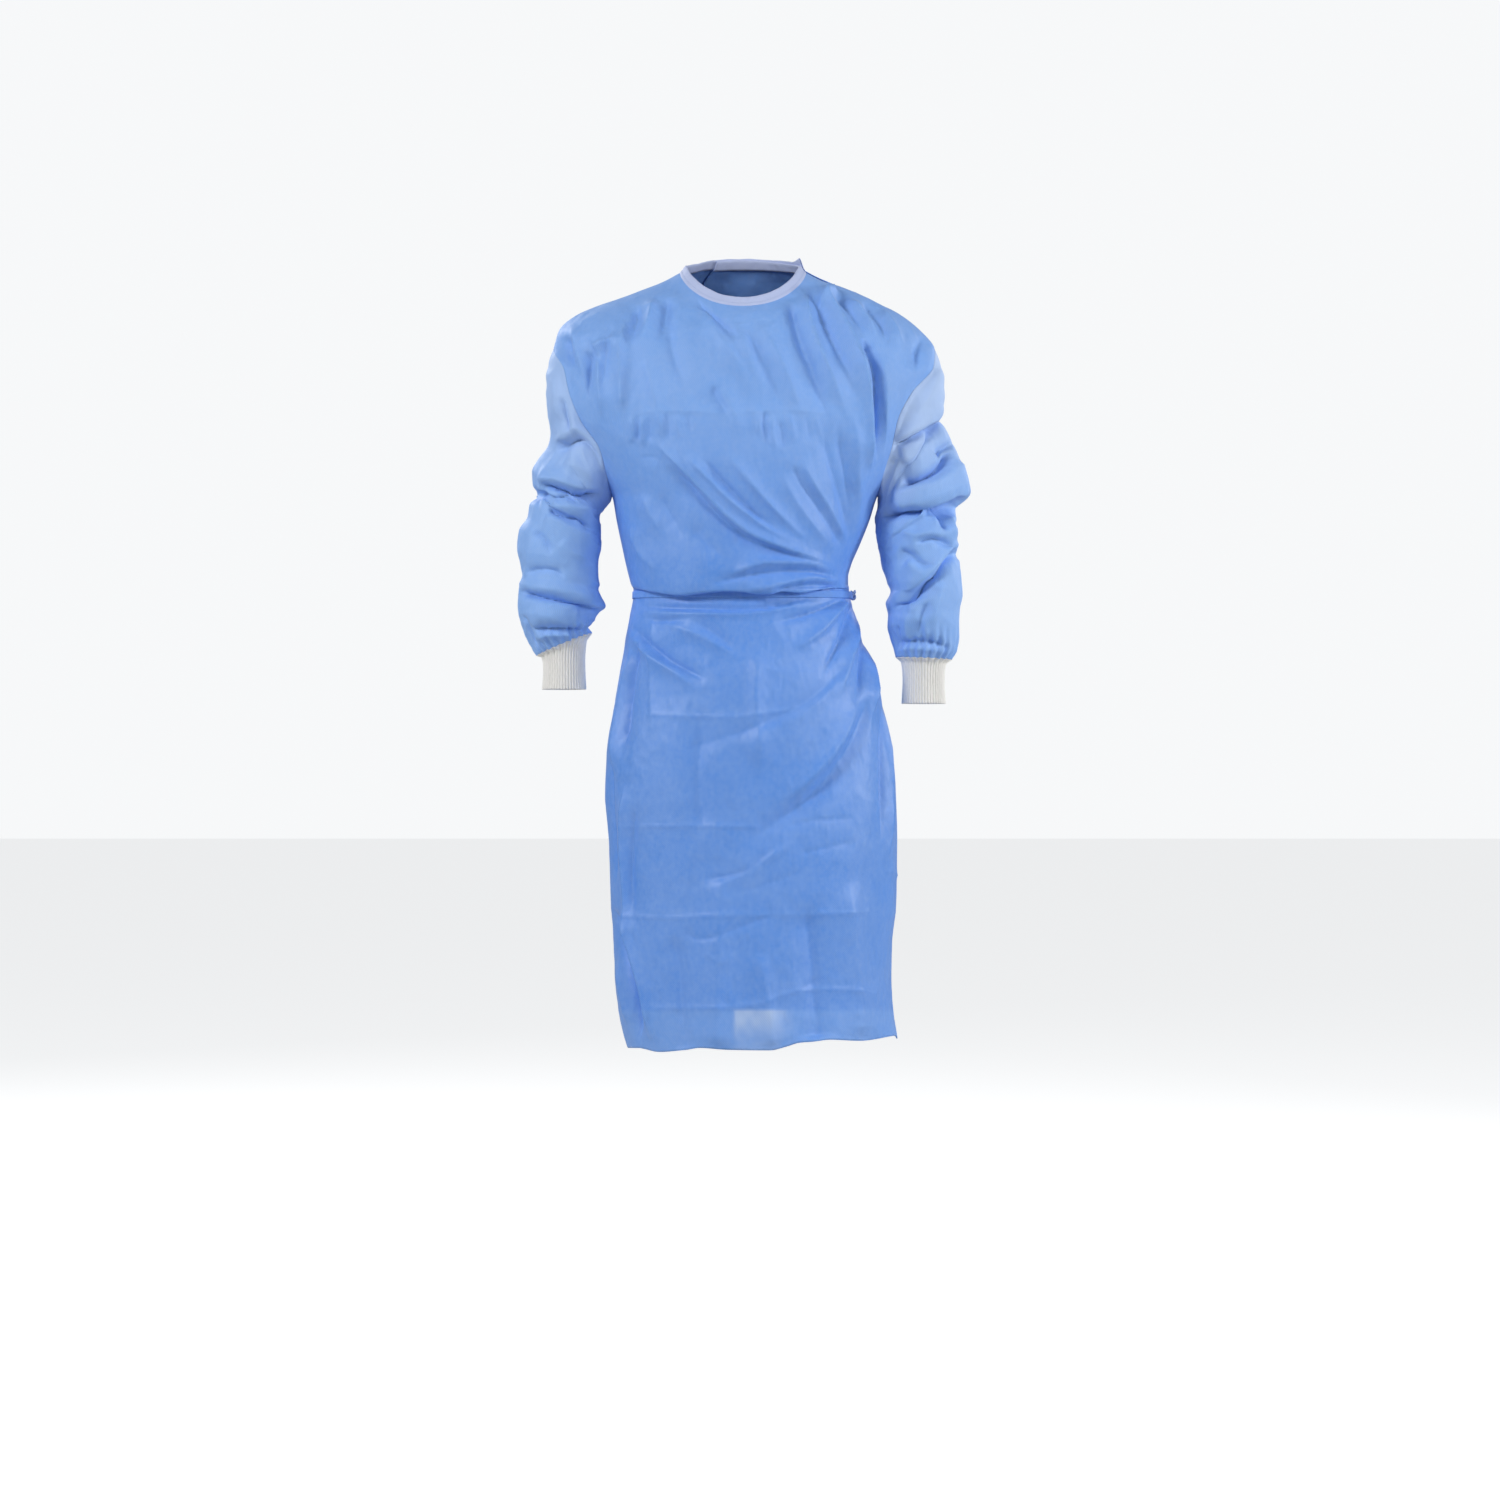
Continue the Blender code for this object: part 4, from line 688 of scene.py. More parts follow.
def smooth_curve(stops, values, at):
    """Values at the given places, on a smooth curve that never swings past its stops."""
    stops, values, at = (np.asarray(a, float) for a in (stops, values, at))
    step = np.diff(stops)
    slope = np.diff(values) / step
    tangent = np.zeros_like(values)
    rising = slope[:-1] * slope[1:] > 0
    first = 2 * step[1:] + step[:-1]
    second = step[1:] + 2 * step[:-1]
    before = np.where(rising, slope[:-1], 1)
    after = np.where(rising, slope[1:], 1)
    mean = (first + second) / (first / before + second / after)
    tangent[1:-1] = np.where(rising, mean, 0)
    tangent[0], tangent[-1] = slope[0], slope[-1]
    k = np.clip(np.searchsorted(stops, at) - 1, 0, len(step) - 1)
    t = np.clip((at - stops[k]) / step[k], 0, 1)
    start = (1 + 2 * t) * (1 - t) ** 2 * values[k] + t**2 * (3 - 2 * t) * values[k + 1]
    bend = t * (1 - t) ** 2 * tangent[k] - t**2 * (1 - t) * tangent[k + 1]
    return start + bend * step[k]


def rings_at(table, places):
    """The table's columns read at any place between its rows, as one named tuple of arrays."""
    rows = np.arange(len(table))
    columns = [smooth_curve(rows, column, places) for column in zip(*table)]
    return type(table[0])(*columns)


def ease(value):
    """0 up to 0 and 1 from 1 on, with a smooth rise in between."""
    t = np.clip(value, 0, 1)
    return t * t * (3 - 2 * t)


def signed_power(value, power):
    """A power of the value's size, with the value's own sign."""
    return np.sign(value) * np.abs(value) ** power


def running(lengths):
    """The way from a line's start to each of its points, from the lengths of its steps."""
    return np.concatenate([[0], np.cumsum(lengths)])


def line_run(points):
    """The way from a line's start to each of its points."""
    return running(np.linalg.norm(np.diff(points, axis=0), axis=1))


def unit(vectors):
    """The vectors at a length of 1."""
    return vectors / np.maximum(np.linalg.norm(vectors, axis=-1, keepdims=True), 1e-9)


def body_surface(rows, across, front):
    """Points of the body's front or back, for each row and each place across from -1 to 1."""
    ring = rings_at(BODY, rows)
    middle = (ring.left + ring.right) / 2
    half = (ring.right - ring.left) / 2
    seam = np.where(across < 0, middle - ring.seam_left, ring.seam_right - middle)
    reach = np.arcsin(np.clip(seam / half, 0, 1) ** (SQUARENESS / 2))
    spread = np.radians(smooth_curve(*zip(*COLUMN_SPREAD), rows))
    angle = spread * across + (reach - spread) * signed_power(across, SEAM_PULL)
    power = 2 / SQUARENESS
    inward = np.abs(np.cos(angle))
    low, depth = (ring.front_low, -ring.front) if front else (ring.back_low, ring.back)
    x = middle + half * signed_power(np.sin(angle), power)
    y = depth * inward**power
    z = ring.side + (low - ring.side) * inward**NECK_DIP_POWER
    return np.stack([x, y, z], axis=-1)


def view_places(points):
    """Where the camera sees each point, in steps across and down its view."""
    near = (points[..., 1] - CAMERA_PLACE[1]) / -CAMERA_PLACE[1]
    across = VIEW_STEPS / 2 + (points[..., 0] - CAMERA_PLACE[0]) / near / VIEW_STEP
    down = VIEW_STEPS / 2 - (points[..., 2] - CAMERA_PLACE[2]) / near / VIEW_STEP
    return across, down


def rounded_path(path, parts=5):
    """A crease's path with its corners rounded, as more points on a smooth line."""
    path = np.array(path, float)
    if len(path) < 3:
        return path
    run = line_run(path)
    at = np.linspace(0, run[-1], parts * (len(path) - 1) + 1)
    return np.stack([smooth_curve(run, column, at) for column in path.T], axis=1)


def crease_relief(across, down, crease):
    """How far one crease pushes points out or in."""
    path = rounded_path(crease.path)
    reach = CREASE_REACH * max(crease.left, crease.right)
    low, high = path.min(0) - reach, path.max(0) + reach
    near = (across > low[0]) & (across < high[0]) & (down > low[1]) & (down < high[1])
    relief = np.zeros_like(across)
    if not near.any():
        return relief
    spots = np.stack([across[near], down[near]], axis=-1)
    starts, ways = path[:-1], np.diff(path, axis=0)
    lengths = np.linalg.norm(ways, axis=1)
    before = running(lengths)
    best = np.full(len(spots), 1e9)
    side = np.zeros(len(spots))
    run = np.zeros(len(spots))
    for start, way, length, done in zip(starts, ways, lengths, before):
        away = spots - start
        t = np.clip(away @ way / length**2, 0, 1)
        gap = np.linalg.norm(away - t[:, None] * way, axis=1)
        closer = gap < best
        best = np.where(closer, gap, best)
        side = np.where(closer, way[0] * away[:, 1] - way[1] * away[:, 0], side)
        run = np.where(closer, (done + t * length) / before[-1], run)
    width = np.where(side > 0, crease.right, crease.left) * CREASE_WIDTH
    fade = ease(run / crease.fade_in) * ease((1 - run) / crease.fade_out)
    flank = np.exp(-((best / width) ** (crease.crest * CREST_POWER)))
    relief[near] = crease.rise * fade * flank
    return relief


def creased(across, down, creases, gain):
    """How far all the creases of a table push points out or in."""
    return gain * sum(crease_relief(across, down, crease) for crease in creases)


def lattice_noise(u, v, seed):
    """Smooth random heights from -1 to 1, one for each cell's corner and eased in between."""
    grid = np.random.default_rng(seed).uniform(-1, 1, (64, 64))
    i, j = np.floor(u).astype(int), np.floor(v).astype(int)
    s, t = ease(u - i), ease(v - j)
    i, j, k, m = i % 64, j % 64, (i + 1) % 64, (j + 1) % 64
    top = grid[i, j] * (1 - s) + grid[k, j] * s
    low = grid[i, m] * (1 - s) + grid[k, m] * s
    return top * (1 - t) + low * t


def crumpled(u, v, seed_shift):
    """The relief of handled cloth: sharp ridges round flat facets, at several sizes.

    Each layer's lattices are bent by a wider one, and all start at other places, so that no
    two of them line up.
    """
    total = np.zeros_like(u)
    for layer in CRUMPLES:
        seed = layer.seed + seed_shift
        bend = lattice_noise(u / layer.cell / 2 + 7.3, v / layer.cell / 2 + 2.9, seed + 100)
        a = u / layer.cell + 0.8 * bend
        b = v / layer.cell / layer.stretch - 0.6 * bend
        ridge = 1 - 2 * np.abs(lattice_noise(a, b, seed)) ** 0.8
        roll = lattice_noise(a * 0.7 + 3.1, b * 0.7 + 5.7, seed + 50)
        total += layer.rise * (CRUMPLE_RIDGE * ridge + (1 - CRUMPLE_RIDGE) * roll)
    return total


def levelled(relief, limit):
    """Relief whose ridges round off below a height, while its troughs stay sharp."""
    return np.where(relief > 0, limit * np.tanh(relief / limit), relief)


def grid_normals(points, inside):
    """Outward unit normals of one grid's points."""
    rows = np.gradient(points, axis=0)
    columns = np.gradient(points, axis=1)
    normals = unit(np.cross(columns, rows))
    facing = np.sum(normals * (points - inside(points)), axis=-1)
    return normals if np.sum(np.sign(facing)) > 0 else -normals


def body_axis(points):
    """The point of the upright axis that is level with each point."""
    return points * (0, 0, 1)


def tube_axis(points):
    """The middle of each row of points, for each point of the row."""
    return np.broadcast_to(points[:, :-1].mean(axis=1, keepdims=True), points.shape)


def arc_lengths(points):
    """Each point's way along its row and along its column, in millimetres."""
    along = np.linalg.norm(np.diff(points, axis=1), axis=-1)
    down = np.linalg.norm(np.diff(points, axis=0), axis=-1)
    u = np.concatenate([np.zeros((len(points), 1)), np.cumsum(along, axis=1)], axis=1)
    v = np.concatenate([np.zeros((1, points.shape[1])), np.cumsum(down, axis=0)], axis=0)
    return u - u.mean(axis=1, keepdims=True), np.broadcast_to(v.mean(axis=1)[:, None], u.shape)


def body_rows(step):
    """Places down the body's table, evenly spaced along the cloth, with the armhole's ends."""
    last = len(BODY) - 1
    fine = np.linspace(0, last, BODY_SAMPLES)
    ring = rings_at(BODY, fine)
    run = np.hypot(np.diff(ring.front_low), np.diff(ring.front))
    run = np.maximum(run, np.hypot(np.diff(ring.side), np.diff(ring.left)))
    length = running(run)
    places = []
    stops = np.interp((0, SHOULDER_TIP_RING, UNDERARM_RING, last), fine, length)
    for start, end in zip(stops[:-1], stops[1:]):
        count = max(2, round((end - start) / step))
        places.append(np.interp(np.linspace(start, end, count + 1), length, fine)[:-1])
    places.append([last])
    return np.concatenate(places)


def panel(rows, across, front, seed, stand_off=0.0):
    """One body panel with all its creases, from its places down and across."""
    base = body_surface(rows, across, front)
    normals = grid_normals(base, body_axis)
    base = base + normals * np.asarray(stand_off)[..., None]
    view = view_places(base)
    inside = 1 - np.abs(across)
    gain = SIDE_GAIN + (BODY_GAIN - SIDE_GAIN) * ease(inside / SIDE_BLEND)
    relief = creased(*view, FRONT_CREASES, gain) + creased(*view, PACKING_CREASES, PACKING_GAIN)
    if not front:
        own = ease(inside / SEAM_BLEND)
        relief = creased(*view, BACK_CREASES, BACK_GAIN) * own + relief * (1 - own)
    hold = ease(inside / (SEAM_BLEND / 2))
    crumple = crumpled(*arc_lengths(base), seed)
    relief = relief + crumple * hold * crumple_strength(view[1])
    flat = ease((rows - NECK_FLAT) / NECK_FADE) * (1 - BELT_PRESS * belt_hold(rows))
    grid = base + normals * (relief * flat)[..., None]
    grid[..., 2] += edge_shift(rows, across, view, front)
    return grid, view_places(grid)


def drop_to(line, across, down):
    """How far a point would move up, in millimetres, to lie on a line that the camera sees."""
    return (down - smooth_curve(*zip(*line), across)) * VIEW_STEP


def edge_shift(rows, across, view, front):
    """How far points move up or down, for the blouse over the belt and the hem's waves."""
    heights = rings_at(BODY, rows).front_low
    near_hem = ease(1 + (BODY[-1].front_low - heights) / HEM_REACH) ** 2
    inside = 1 - np.abs(across)
    if not front:
        wave = HEM_WAVE_BEHIND * np.sin(across * HEM_WAVES_BEHIND)
        return wave * near_hem * ease(inside / HEM_BLEND)
    hem = drop_to(HEM_EDGE, view[0][-1], view[1][-1])
    start, fold, end = BLOUSE_RINGS
    lowest = int(np.argmin(np.abs(rows[:, 0] - fold)))
    blouse = drop_to(BLOUSE_EDGE, view[0][lowest], view[1][lowest])
    held = ease((rows - start) / (fold - start)) * ease((end - rows) / (end - fold))
    return (blouse * held + hem * near_hem) * ease(inside / BLOUSE_BLEND)


def crumple_strength(down):
    """The film-backed cloth lies smoother than the bare cloth over the shoulders."""
    return 1 - FILM_SMOOTHING * ease((down - FILM_EDGE) / FILM_SMOOTHING_WIDTH)


def belt_hold(rows):
    """1 where the belt presses the cloth flat, falling to 0 a little above and below it."""
    middle = (BELT_TOP_RING + BELT_BOTTOM_RING) / 2
    return 1 - ease((np.abs(rows - middle) - BELT_FLAT) / BELT_FADE)


def front_grid(rows, columns):
    """The front panel, from its right side seam to its left one."""
    rows, across = np.meshgrid(rows, np.linspace(-1, 1, columns + 1), indexing="ij")
    return panel(rows, across, True, FRONT_SEED)


def on_grid(grid, rows, row, column):
    """A place between a grid's points, by its place down the body and its column's number."""
    at = np.interp(row, rows, np.arange(len(rows)))
    i = np.minimum(np.floor(at).astype(int), len(rows) - 2)
    j = np.minimum(np.floor(column).astype(int), grid.shape[1] - 2)
    s, t = (at - i)[..., None], (column - j)[..., None]
    top = grid[i, j] * (1 - t) + grid[i, j + 1] * t
    low = grid[i + 1, j] * (1 - t) + grid[i + 1, j + 1] * t
    return top * (1 - s) + low * s


def under_grid(rows, columns):
    """The inner back panel, from its free edge to the left side seam."""
    rows, across = np.meshgrid(rows, np.linspace(UNDER_FREE_EDGE, 1, columns + 1), indexing="ij")
    return panel(rows, across, False, BACK_SEED)


def wrap_grid(rows, columns):
    """The outer back panel, from the right side seam to its free edge over the inner one."""
    heights = rings_at(BODY, rows).back_low
    stops = [-edge.height for edge in WRAP_EDGE]
    free = smooth_curve(stops, [edge.place for edge in WRAP_EDGE], -heights)
    share = np.linspace(0, 1, columns + 1)
    across = -1 + (free[:, None] + 1) * share
    start, end = WRAP_RISE
    lift = WRAP_STAND_OFF * ease((across - start) / (end - start))
    return panel(rows[:, None] + np.zeros_like(across), across, False, BACK_SEED, lift)


def armhole_loop(front, back, column, rows):
    """The armhole's points from the shoulder tip down its front and up its back, closed."""
    tip = int(np.searchsorted(rows, SHOULDER_TIP_RING - 1e-6))
    underarm = int(np.searchsorted(rows, UNDERARM_RING - 1e-6))
    down = front[tip : underarm + 1, column]
    up = back[tip:underarm, column][::-1]
    return np.concatenate([down, up])


def sleeve_ring(table, row, turns):
    """Points round a sleeve at one row; a turn of 0 is its outer side and pi its inner side."""
    ring = rings_at(table, row)
    x = (ring.outer + ring.inner) / 2 + (ring.outer - ring.inner) / 2 * np.cos(turns)
    y = -ring.depth * np.sin(turns)
    z = ring.outer_low + (ring.inner_low - ring.outer_low) * (1 - np.cos(turns)) / 2
    return np.stack([x, y, z + np.zeros_like(turns)], axis=-1)


def sleeve_rows(table, step):
    """Places down a sleeve's table, evenly spaced along its outer side."""
    fine = np.linspace(0, len(table) - 1, SLEEVE_SAMPLES)
    ring = rings_at(table, fine)
    length = running(np.hypot(np.diff(ring.outer_low), np.diff(ring.outer)))
    count = round(length[-1] / step)
    return np.interp(np.linspace(0, length[-1], count + 1), length, fine)


def sleeve_grid(sleeve, loop, step):
    """A sleeve from its armhole loop down to its gathered end, its last column closing it."""
    table = sleeve.rings
    count = len(loop) - 1
    turns = np.linspace(0, 2 * np.pi, count + 1)
    start = loop - sleeve_ring(table, 0, turns)
    rows = sleeve_rows(table, step)
    last = len(table) - 1
    keep = np.maximum(0, 1 - rows / ARMHOLE_BLEND_ROWS) ** 2
    base = np.array([sleeve_ring(table, row, turns) + start * k for row, k in zip(rows, keep)])
    normals = grid_normals(base, tube_axis)
    across, down = view_places(base)
    in_front = ease(0.5 + 0.8 * np.sin(turns))
    relief = creased(across, down, sleeve.creases, SLEEVE_GAIN) * in_front
    behind = creased(across, down - BEHIND_DROP, sleeve.creases, SLEEVE_GAIN)
    relief = relief + behind * (1 - in_front)
    off_seam = ease((1 - np.abs(turns / np.pi - 1)) / SLEEVE_SEAM_BLEND)
    crumple = SLEEVE_CRUMPLE * crumpled(*arc_lengths(base), sleeve.seed)
    relief = levelled(relief + crumple * off_seam, SLEEVE_RIDGE)
    gather = GATHER_DEPTH * ease((rows - (last - GATHER_ROWS)) / GATHER_FADE_ROWS)
    patches = (turns * GATHER_SIZE[0], rows[:, None] * GATHER_SIZE[1])
    uneven = GATHER_MIDDLE + GATHER_SPREAD * lattice_noise(*patches, sleeve.seed + 5)
    pleat = gather[:, None] * uneven * np.cos(turns * SLEEVE_GATHERS)
    hold = ease(rows / ARMHOLE_HOLD_ROWS) * ease((last - rows) / CUFF_HOLD_ROWS)
    grid = base + normals * (relief * hold[:, None] + pleat)[..., None]
    grid[:, -1] = grid[:, 0]
    return grid


def cuff_grid(sleeve):
    """A knitted cuff from the sleeve's gathered end down to the wrist, with its ribs."""
    columns = RIB_COLUMNS * CUFF_RIBS
    turns = np.linspace(0, 2 * np.pi, columns + 1)
    top = sleeve[-1]
    old = np.linspace(0, 2 * np.pi, len(top))
    top = np.stack([np.interp(turns, old, top[:, k]) for k in range(3)], axis=-1)
    centre = top[:-1].mean(axis=0)
    side = np.sign(top[0, 0] - centre[0])
    rings = [top]
    for ring in CUFF:
        share = ring.drop / CUFF[-1].drop
        x = centre[0] + side * ring.half_width * np.cos(turns)
        y = centre[1] - ring.half_depth * np.sin(turns)
        z = centre[2] - ring.drop + (top[:, 2] - centre[2]) * (1 - share) * CUFF_TILT
        rings.append(np.stack([x, y, z + np.zeros_like(x)], axis=-1))
    stops = np.array([0.0] + [ring.drop for ring in CUFF])
    drops = np.linspace(0, stops[-1], CUFF_ROWS + 1)
    rings = np.array(rings)
    grid = np.empty((CUFF_ROWS + 1, columns + 1, 3))
    for column in range(columns + 1):
        for axis in range(3):
            grid[:, column, axis] = smooth_curve(stops, rings[:, column, axis], drops)
    out = unit((grid - tube_axis(grid)) * (1, 1, 0))
    rib = RIB_DEPTH * np.cos(turns * CUFF_RIBS) * ease(drops / RIB_FADE)[:, None]
    course = COURSE_DEPTH * np.cos(drops / COURSE_PITCH * 2 * np.pi)[:, None]
    grid = grid + out * (rib + course)[..., None]
    grid[:, -1] = grid[:, 0]
    return grid


def evenly(values, step):
    """Rows of values, the first three of each a line's point, spaced evenly along the line."""
    run = line_run(values[:, :3])
    at = np.linspace(0, run[-1], round(run[-1] / step) + 1)
    return np.stack([np.interp(at, run, column) for column in values.T], axis=-1), at


def averaged(vectors, reach):
    """Vectors along a line, each averaged with its neighbours on both sides."""
    padded = np.pad(vectors, ((reach, reach), (0, 0)), mode="edge")
    kernel = np.ones(2 * reach + 1) / (2 * reach + 1)
    return np.stack([np.convolve(column, kernel, "valid") for column in padded.T], axis=-1)


def tape_grid(front, under, wrap):
    """The neck tape's points, line by line, and the ways out from it, along its length."""
    parts = (under[:, :-1], front[:, ::-1], wrap[:, 1:])
    line = np.concatenate([part[0] for part in parts])
    up = np.concatenate([unit(part[0] - part[2]) for part in parts])
    values, run = evenly(np.concatenate([line, up], axis=1), TAPE_STEP)
    line = values[:, :3]
    up = unit(averaged(values[:, 3:], 6) * (1 - TAPE_UPRIGHT) + (0, 0, TAPE_UPRIGHT))
    along = averaged(np.gradient(line, axis=0), 4)
    out = unit(np.cross(up, along))
    end = ease(1 - (run[-1] - run) / TAPE_LAP)
    wander = TAPE_WANDER * lattice_noise(run / TAPE_WANDER_LENGTH, 0 * run, TAPE_WANDER_SEED)
    rings = []
    for tape in TAPE:
        free = max(tape.rise, 0) / TAPE[TAPE_FOLD_LINE].rise
        row = tape.rise / TAPE_RIPPLE_HEIGHT + 0 * run
        ripple = TAPE_RIPPLE * lattice_noise(run / TAPE_RIPPLE_LENGTH, row, TAPE_RIPPLE_SEED)
        height = tape.rise + (wander + TAPE_LAP_RISE * end) * free
        proud = tape.proud + ripple * (tape.rise > TAPE_RIPPLED_ABOVE) + TAPE_LAP_OUT * end * free
        rings.append(line + up * height[:, None] + out * proud[:, None])
    return np.array(rings)[:, ::-1], out[::-1]


def belt_grid(front, under, wrap, rows):
    """The belt's points, from its top edge down, once round the waist over the outer cloth."""
    rings = np.linspace(BELT_TOP_RING, BELT_BOTTOM_RING, BELT_LINES)
    waists = []
    for grid in (front, under, wrap):
        columns = np.arange(grid.shape[1])
        waists.append(np.array([on_grid(grid, rows, ring, columns) for ring in rings]))
    front, under, wrap = waists
    free_edge = wrap[BELT_LINES // 2, -1, 1]
    middle = under[BELT_LINES // 2]
    beyond = (middle[:, 0] > 0) & (middle[:, 1] < free_edge - BELT_CLEAR_OF_EDGE)
    under = under[:, beyond][:, ::-1]
    wrap = wrap[:, 1:][:, ::-1]
    loop = np.concatenate([front[:, :-1], under, wrap, front[:, :1]], axis=1)
    stand = np.zeros((loop.shape[1], 1))
    stand[front.shape[1] - 1 :][: under.shape[1]] = WRAP_STAND_OFF
    stand = averaged(stand, 2)
    along = averaged(np.gradient(loop[BELT_LINES // 2], axis=0), 3)
    out = unit(np.cross(along, (0, 0, 1)))
    share = np.linspace(-1, 1, BELT_LINES)[:, None, None]
    run = line_run(loop[0])
    ripple = BELT_RIPPLE * lattice_noise(run / BELT_RIPPLE_LENGTH, run * 0, BELT_RIPPLE_SEED)
    ripple = ripple[None, :, None] * share
    lift = BELT_LIFT + BELT_BULGE * (1 - share**4) + ripple + stand[None]
    grid = loop + out * lift
    grid[:, -1] = grid[:, 0]
    return grid


def under_place(place, ring):
    """A place on the plain back at the given share across it, with its ways along and out."""
    rows = np.array([ring, ring, ring + 0.02])
    across = np.array([place, place + 0.01, place])
    here, beside, below = body_surface(rows, across, False)
    along, down = unit(beside - here), unit(below - here)
    out = unit(np.cross(along, down))
    return here, along, out * np.sign(out[1] + 1e-9)


def knot_grid():
    """A flat band's points round the loops of an overhand knot, ring by ring."""
    middle = (BELT_TOP_RING + BELT_BOTTOM_RING) / 2
    here, along, out = under_place(KNOT_PLACE, middle)
    turns = np.linspace(0, 2 * np.pi, KNOT_RINGS + 1)
    sideways = np.sin(turns) + 2 * np.sin(2 * turns)
    outward = -3 * np.sin(3 * turns)
    upward = np.cos(turns) - 2 * np.cos(2 * turns)
    loops = np.stack([sideways, outward, upward], axis=-1)
    half_width, half_thickness = KNOT_BAND
    reach = np.array(KNOT_HALF_SIZES) - (half_width, half_thickness, half_width)
    ways = np.array([along, out, (0, 0, 1)])
    line = here + out * KNOT_STAND_OFF + (loops / 3 * reach) @ ways
    forward = unit(np.gradient(line, axis=0))
    wide = unit(np.cross(forward, out))
    high = unit(np.cross(wide, forward))
    sides = np.linspace(0, 2 * np.pi, KNOT_SIDES + 1)[None, :, None]
    pinch = 1 + KNOT_PINCH * np.cos(KNOT_PINCHES * sides)
    across = np.cos(sides) * wide[:, None] * half_width
    through = np.sin(sides) * high[:, None] * half_thickness
    grid = line[:, None] + pinch * (across + through)
    grid[-1] = grid[0]
    grid[:, -1] = grid[:, 0]
    return grid


def tie_grid(end, under, rows):
    """A free end's points, row by row, hanging close over the cloth of the back."""
    share = np.linspace(0, 1, TIE_ROWS + 1)
    ring = end.ring_top + (end.ring_tip - end.ring_top) * share
    place = end.place_top + (end.place_tip - end.place_top) * share
    columns = under.shape[1] - 1
    middle = (place - UNDER_FREE_EDGE) / (1 - UNDER_FREE_EDGE) * columns
    half = TIE_WIDTH / 2 / BACK_STEP
    offset = np.linspace(-half, half, TIE_COLUMNS + 1)
    column = np.clip(middle[:, None] + offset, 0, columns)
    grid = on_grid(under, rows, ring[:, None] + 0 * column, column)
    out = unit(grid * (1, 1, 0))
    curl = end.curl * share**3 + TIE_WAVE * np.sin(share * TIE_WAVES)
    cup = TIE_CUP * (offset / half) ** 2
    return grid + out * (TIE_LIFT + curl[:, None] + cup)[..., None]


def grid_shape(grid, fields=None):
    """A mesh through a grid of points in millimetres, with named values on its points."""
    rows, columns = grid.shape[:2]
    along, down = arc_lengths(grid)
    values = {"along": along * MM, "down": down * MM, **(fields or {})}
    flat = {key: np.asarray(value, float).reshape(-1) for key, value in values.items()}
    shape = bmesh.new()
    bmesh.ops.create_grid(shape, x_segments=columns - 1, y_segments=rows - 1, size=0.5)
    layers = [(key, shape.verts.layers.float.new(key)) for key in flat]
    ordered = sorted(shape.verts, key=lambda v: (round(v.co.y, 4), round(v.co.x, 4)))
    for index, (vert, point) in enumerate(zip(ordered, grid.reshape(-1, 3) * MM)):
        vert.co = point
        for key, layer in layers:
            vert[layer] = flat[key][index]
    return shape


def add_piece(name, shape, finish):
    """An object of the finished shape, with its finish on it."""
    mesh = bpy.data.meshes.new(name)
    shape.to_mesh(mesh)
    shape.free()
    mesh.shade_smooth()
    mesh.materials.append(finish)
    made = bpy.data.objects.new(name, mesh)
    bpy.context.scene.collection.objects.link(made)
    return made


def add_cloth(name, grid, finish, shell, closed=False, fields=None, turned=False):
    """One cloth piece: a grid of points in millimetres, given its thickness by Solidify."""
    shape = grid_shape(grid, fields)
    if closed:
        bmesh.ops.remove_doubles(shape, verts=shape.verts, dist=1e-6)
    if not turned:
        face_outward(shape, grid.reshape(-1, 3).mean(axis=0) * MM if closed else (0, 0))
    made = add_piece(name, shape, finish)
    solid = made.modifiers.new("Cloth thickness", "SOLIDIFY")
    solid.thickness = shell
    solid.offset = -1
    solid.use_rim = True
    solid.use_even_offset = False
    return made


def face_outward(shape, centre):
    """Turns a cloth grid so that its faces look away from the upright axis through a centre."""
    shape.normal_update()
    hint = 0.0
    for face in shape.faces:
        middle = face.calc_center_median()
        hint += face.normal.x * (middle.x - centre[0]) + face.normal.y * (middle.y - centre[1])
    if hint < 0:
        bmesh.ops.reverse_faces(shape, faces=shape.faces)


def add_stitches(name, line, out, seam, finish):
    """A row of short threads along a line, all one mesh."""
    values, run = evenly(np.concatenate([line, out], axis=1), SEAM_STEP)
    shape = bmesh.new()
    for start in np.arange(seam.gap, run[-1] - seam.length, seam.length + seam.gap):
        first, last = np.searchsorted(run, (start, start + seam.length))
        middle = values[(first + last) // 2]
        spot, way = middle[:3], unit(middle[3:])
        along = values[last, :3] - values[first, :3]
        side = unit(np.cross(way, along)) * seam.radius
        axes = np.stack([along / 2, side, way * seam.radius, spot], axis=1) * MM
        matrix = Matrix([*axes.tolist(), (0, 0, 0, 1)])
        bmesh.ops.create_uvsphere(
            shape, u_segments=THREAD_SIDES, v_segments=THREAD_RINGS, radius=1, matrix=matrix
        )
    bmesh.ops.recalc_face_normals(shape, faces=shape.faces)
    return add_piece(name, shape, finish)


def dress(piece, node):
    """Attaches a piece to the root and hides the solid of the model that it stands for."""
    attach(piece, "root")
    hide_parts(node)


def new_material(name):
    """A material with its node tree and its main shader."""
    made = bpy.data.materials.new(name)
    made.use_nodes = True
    return made, made.node_tree, made.node_tree.nodes["Principled BSDF"]


def add_node(tree, kind, place, **settings):
    """A node of the given kind at a place in the tree, with its settings."""
    node = tree.nodes.new(kind)
    node.location = place
    for key, value in settings.items():
        setattr(node, key, value)
    return node


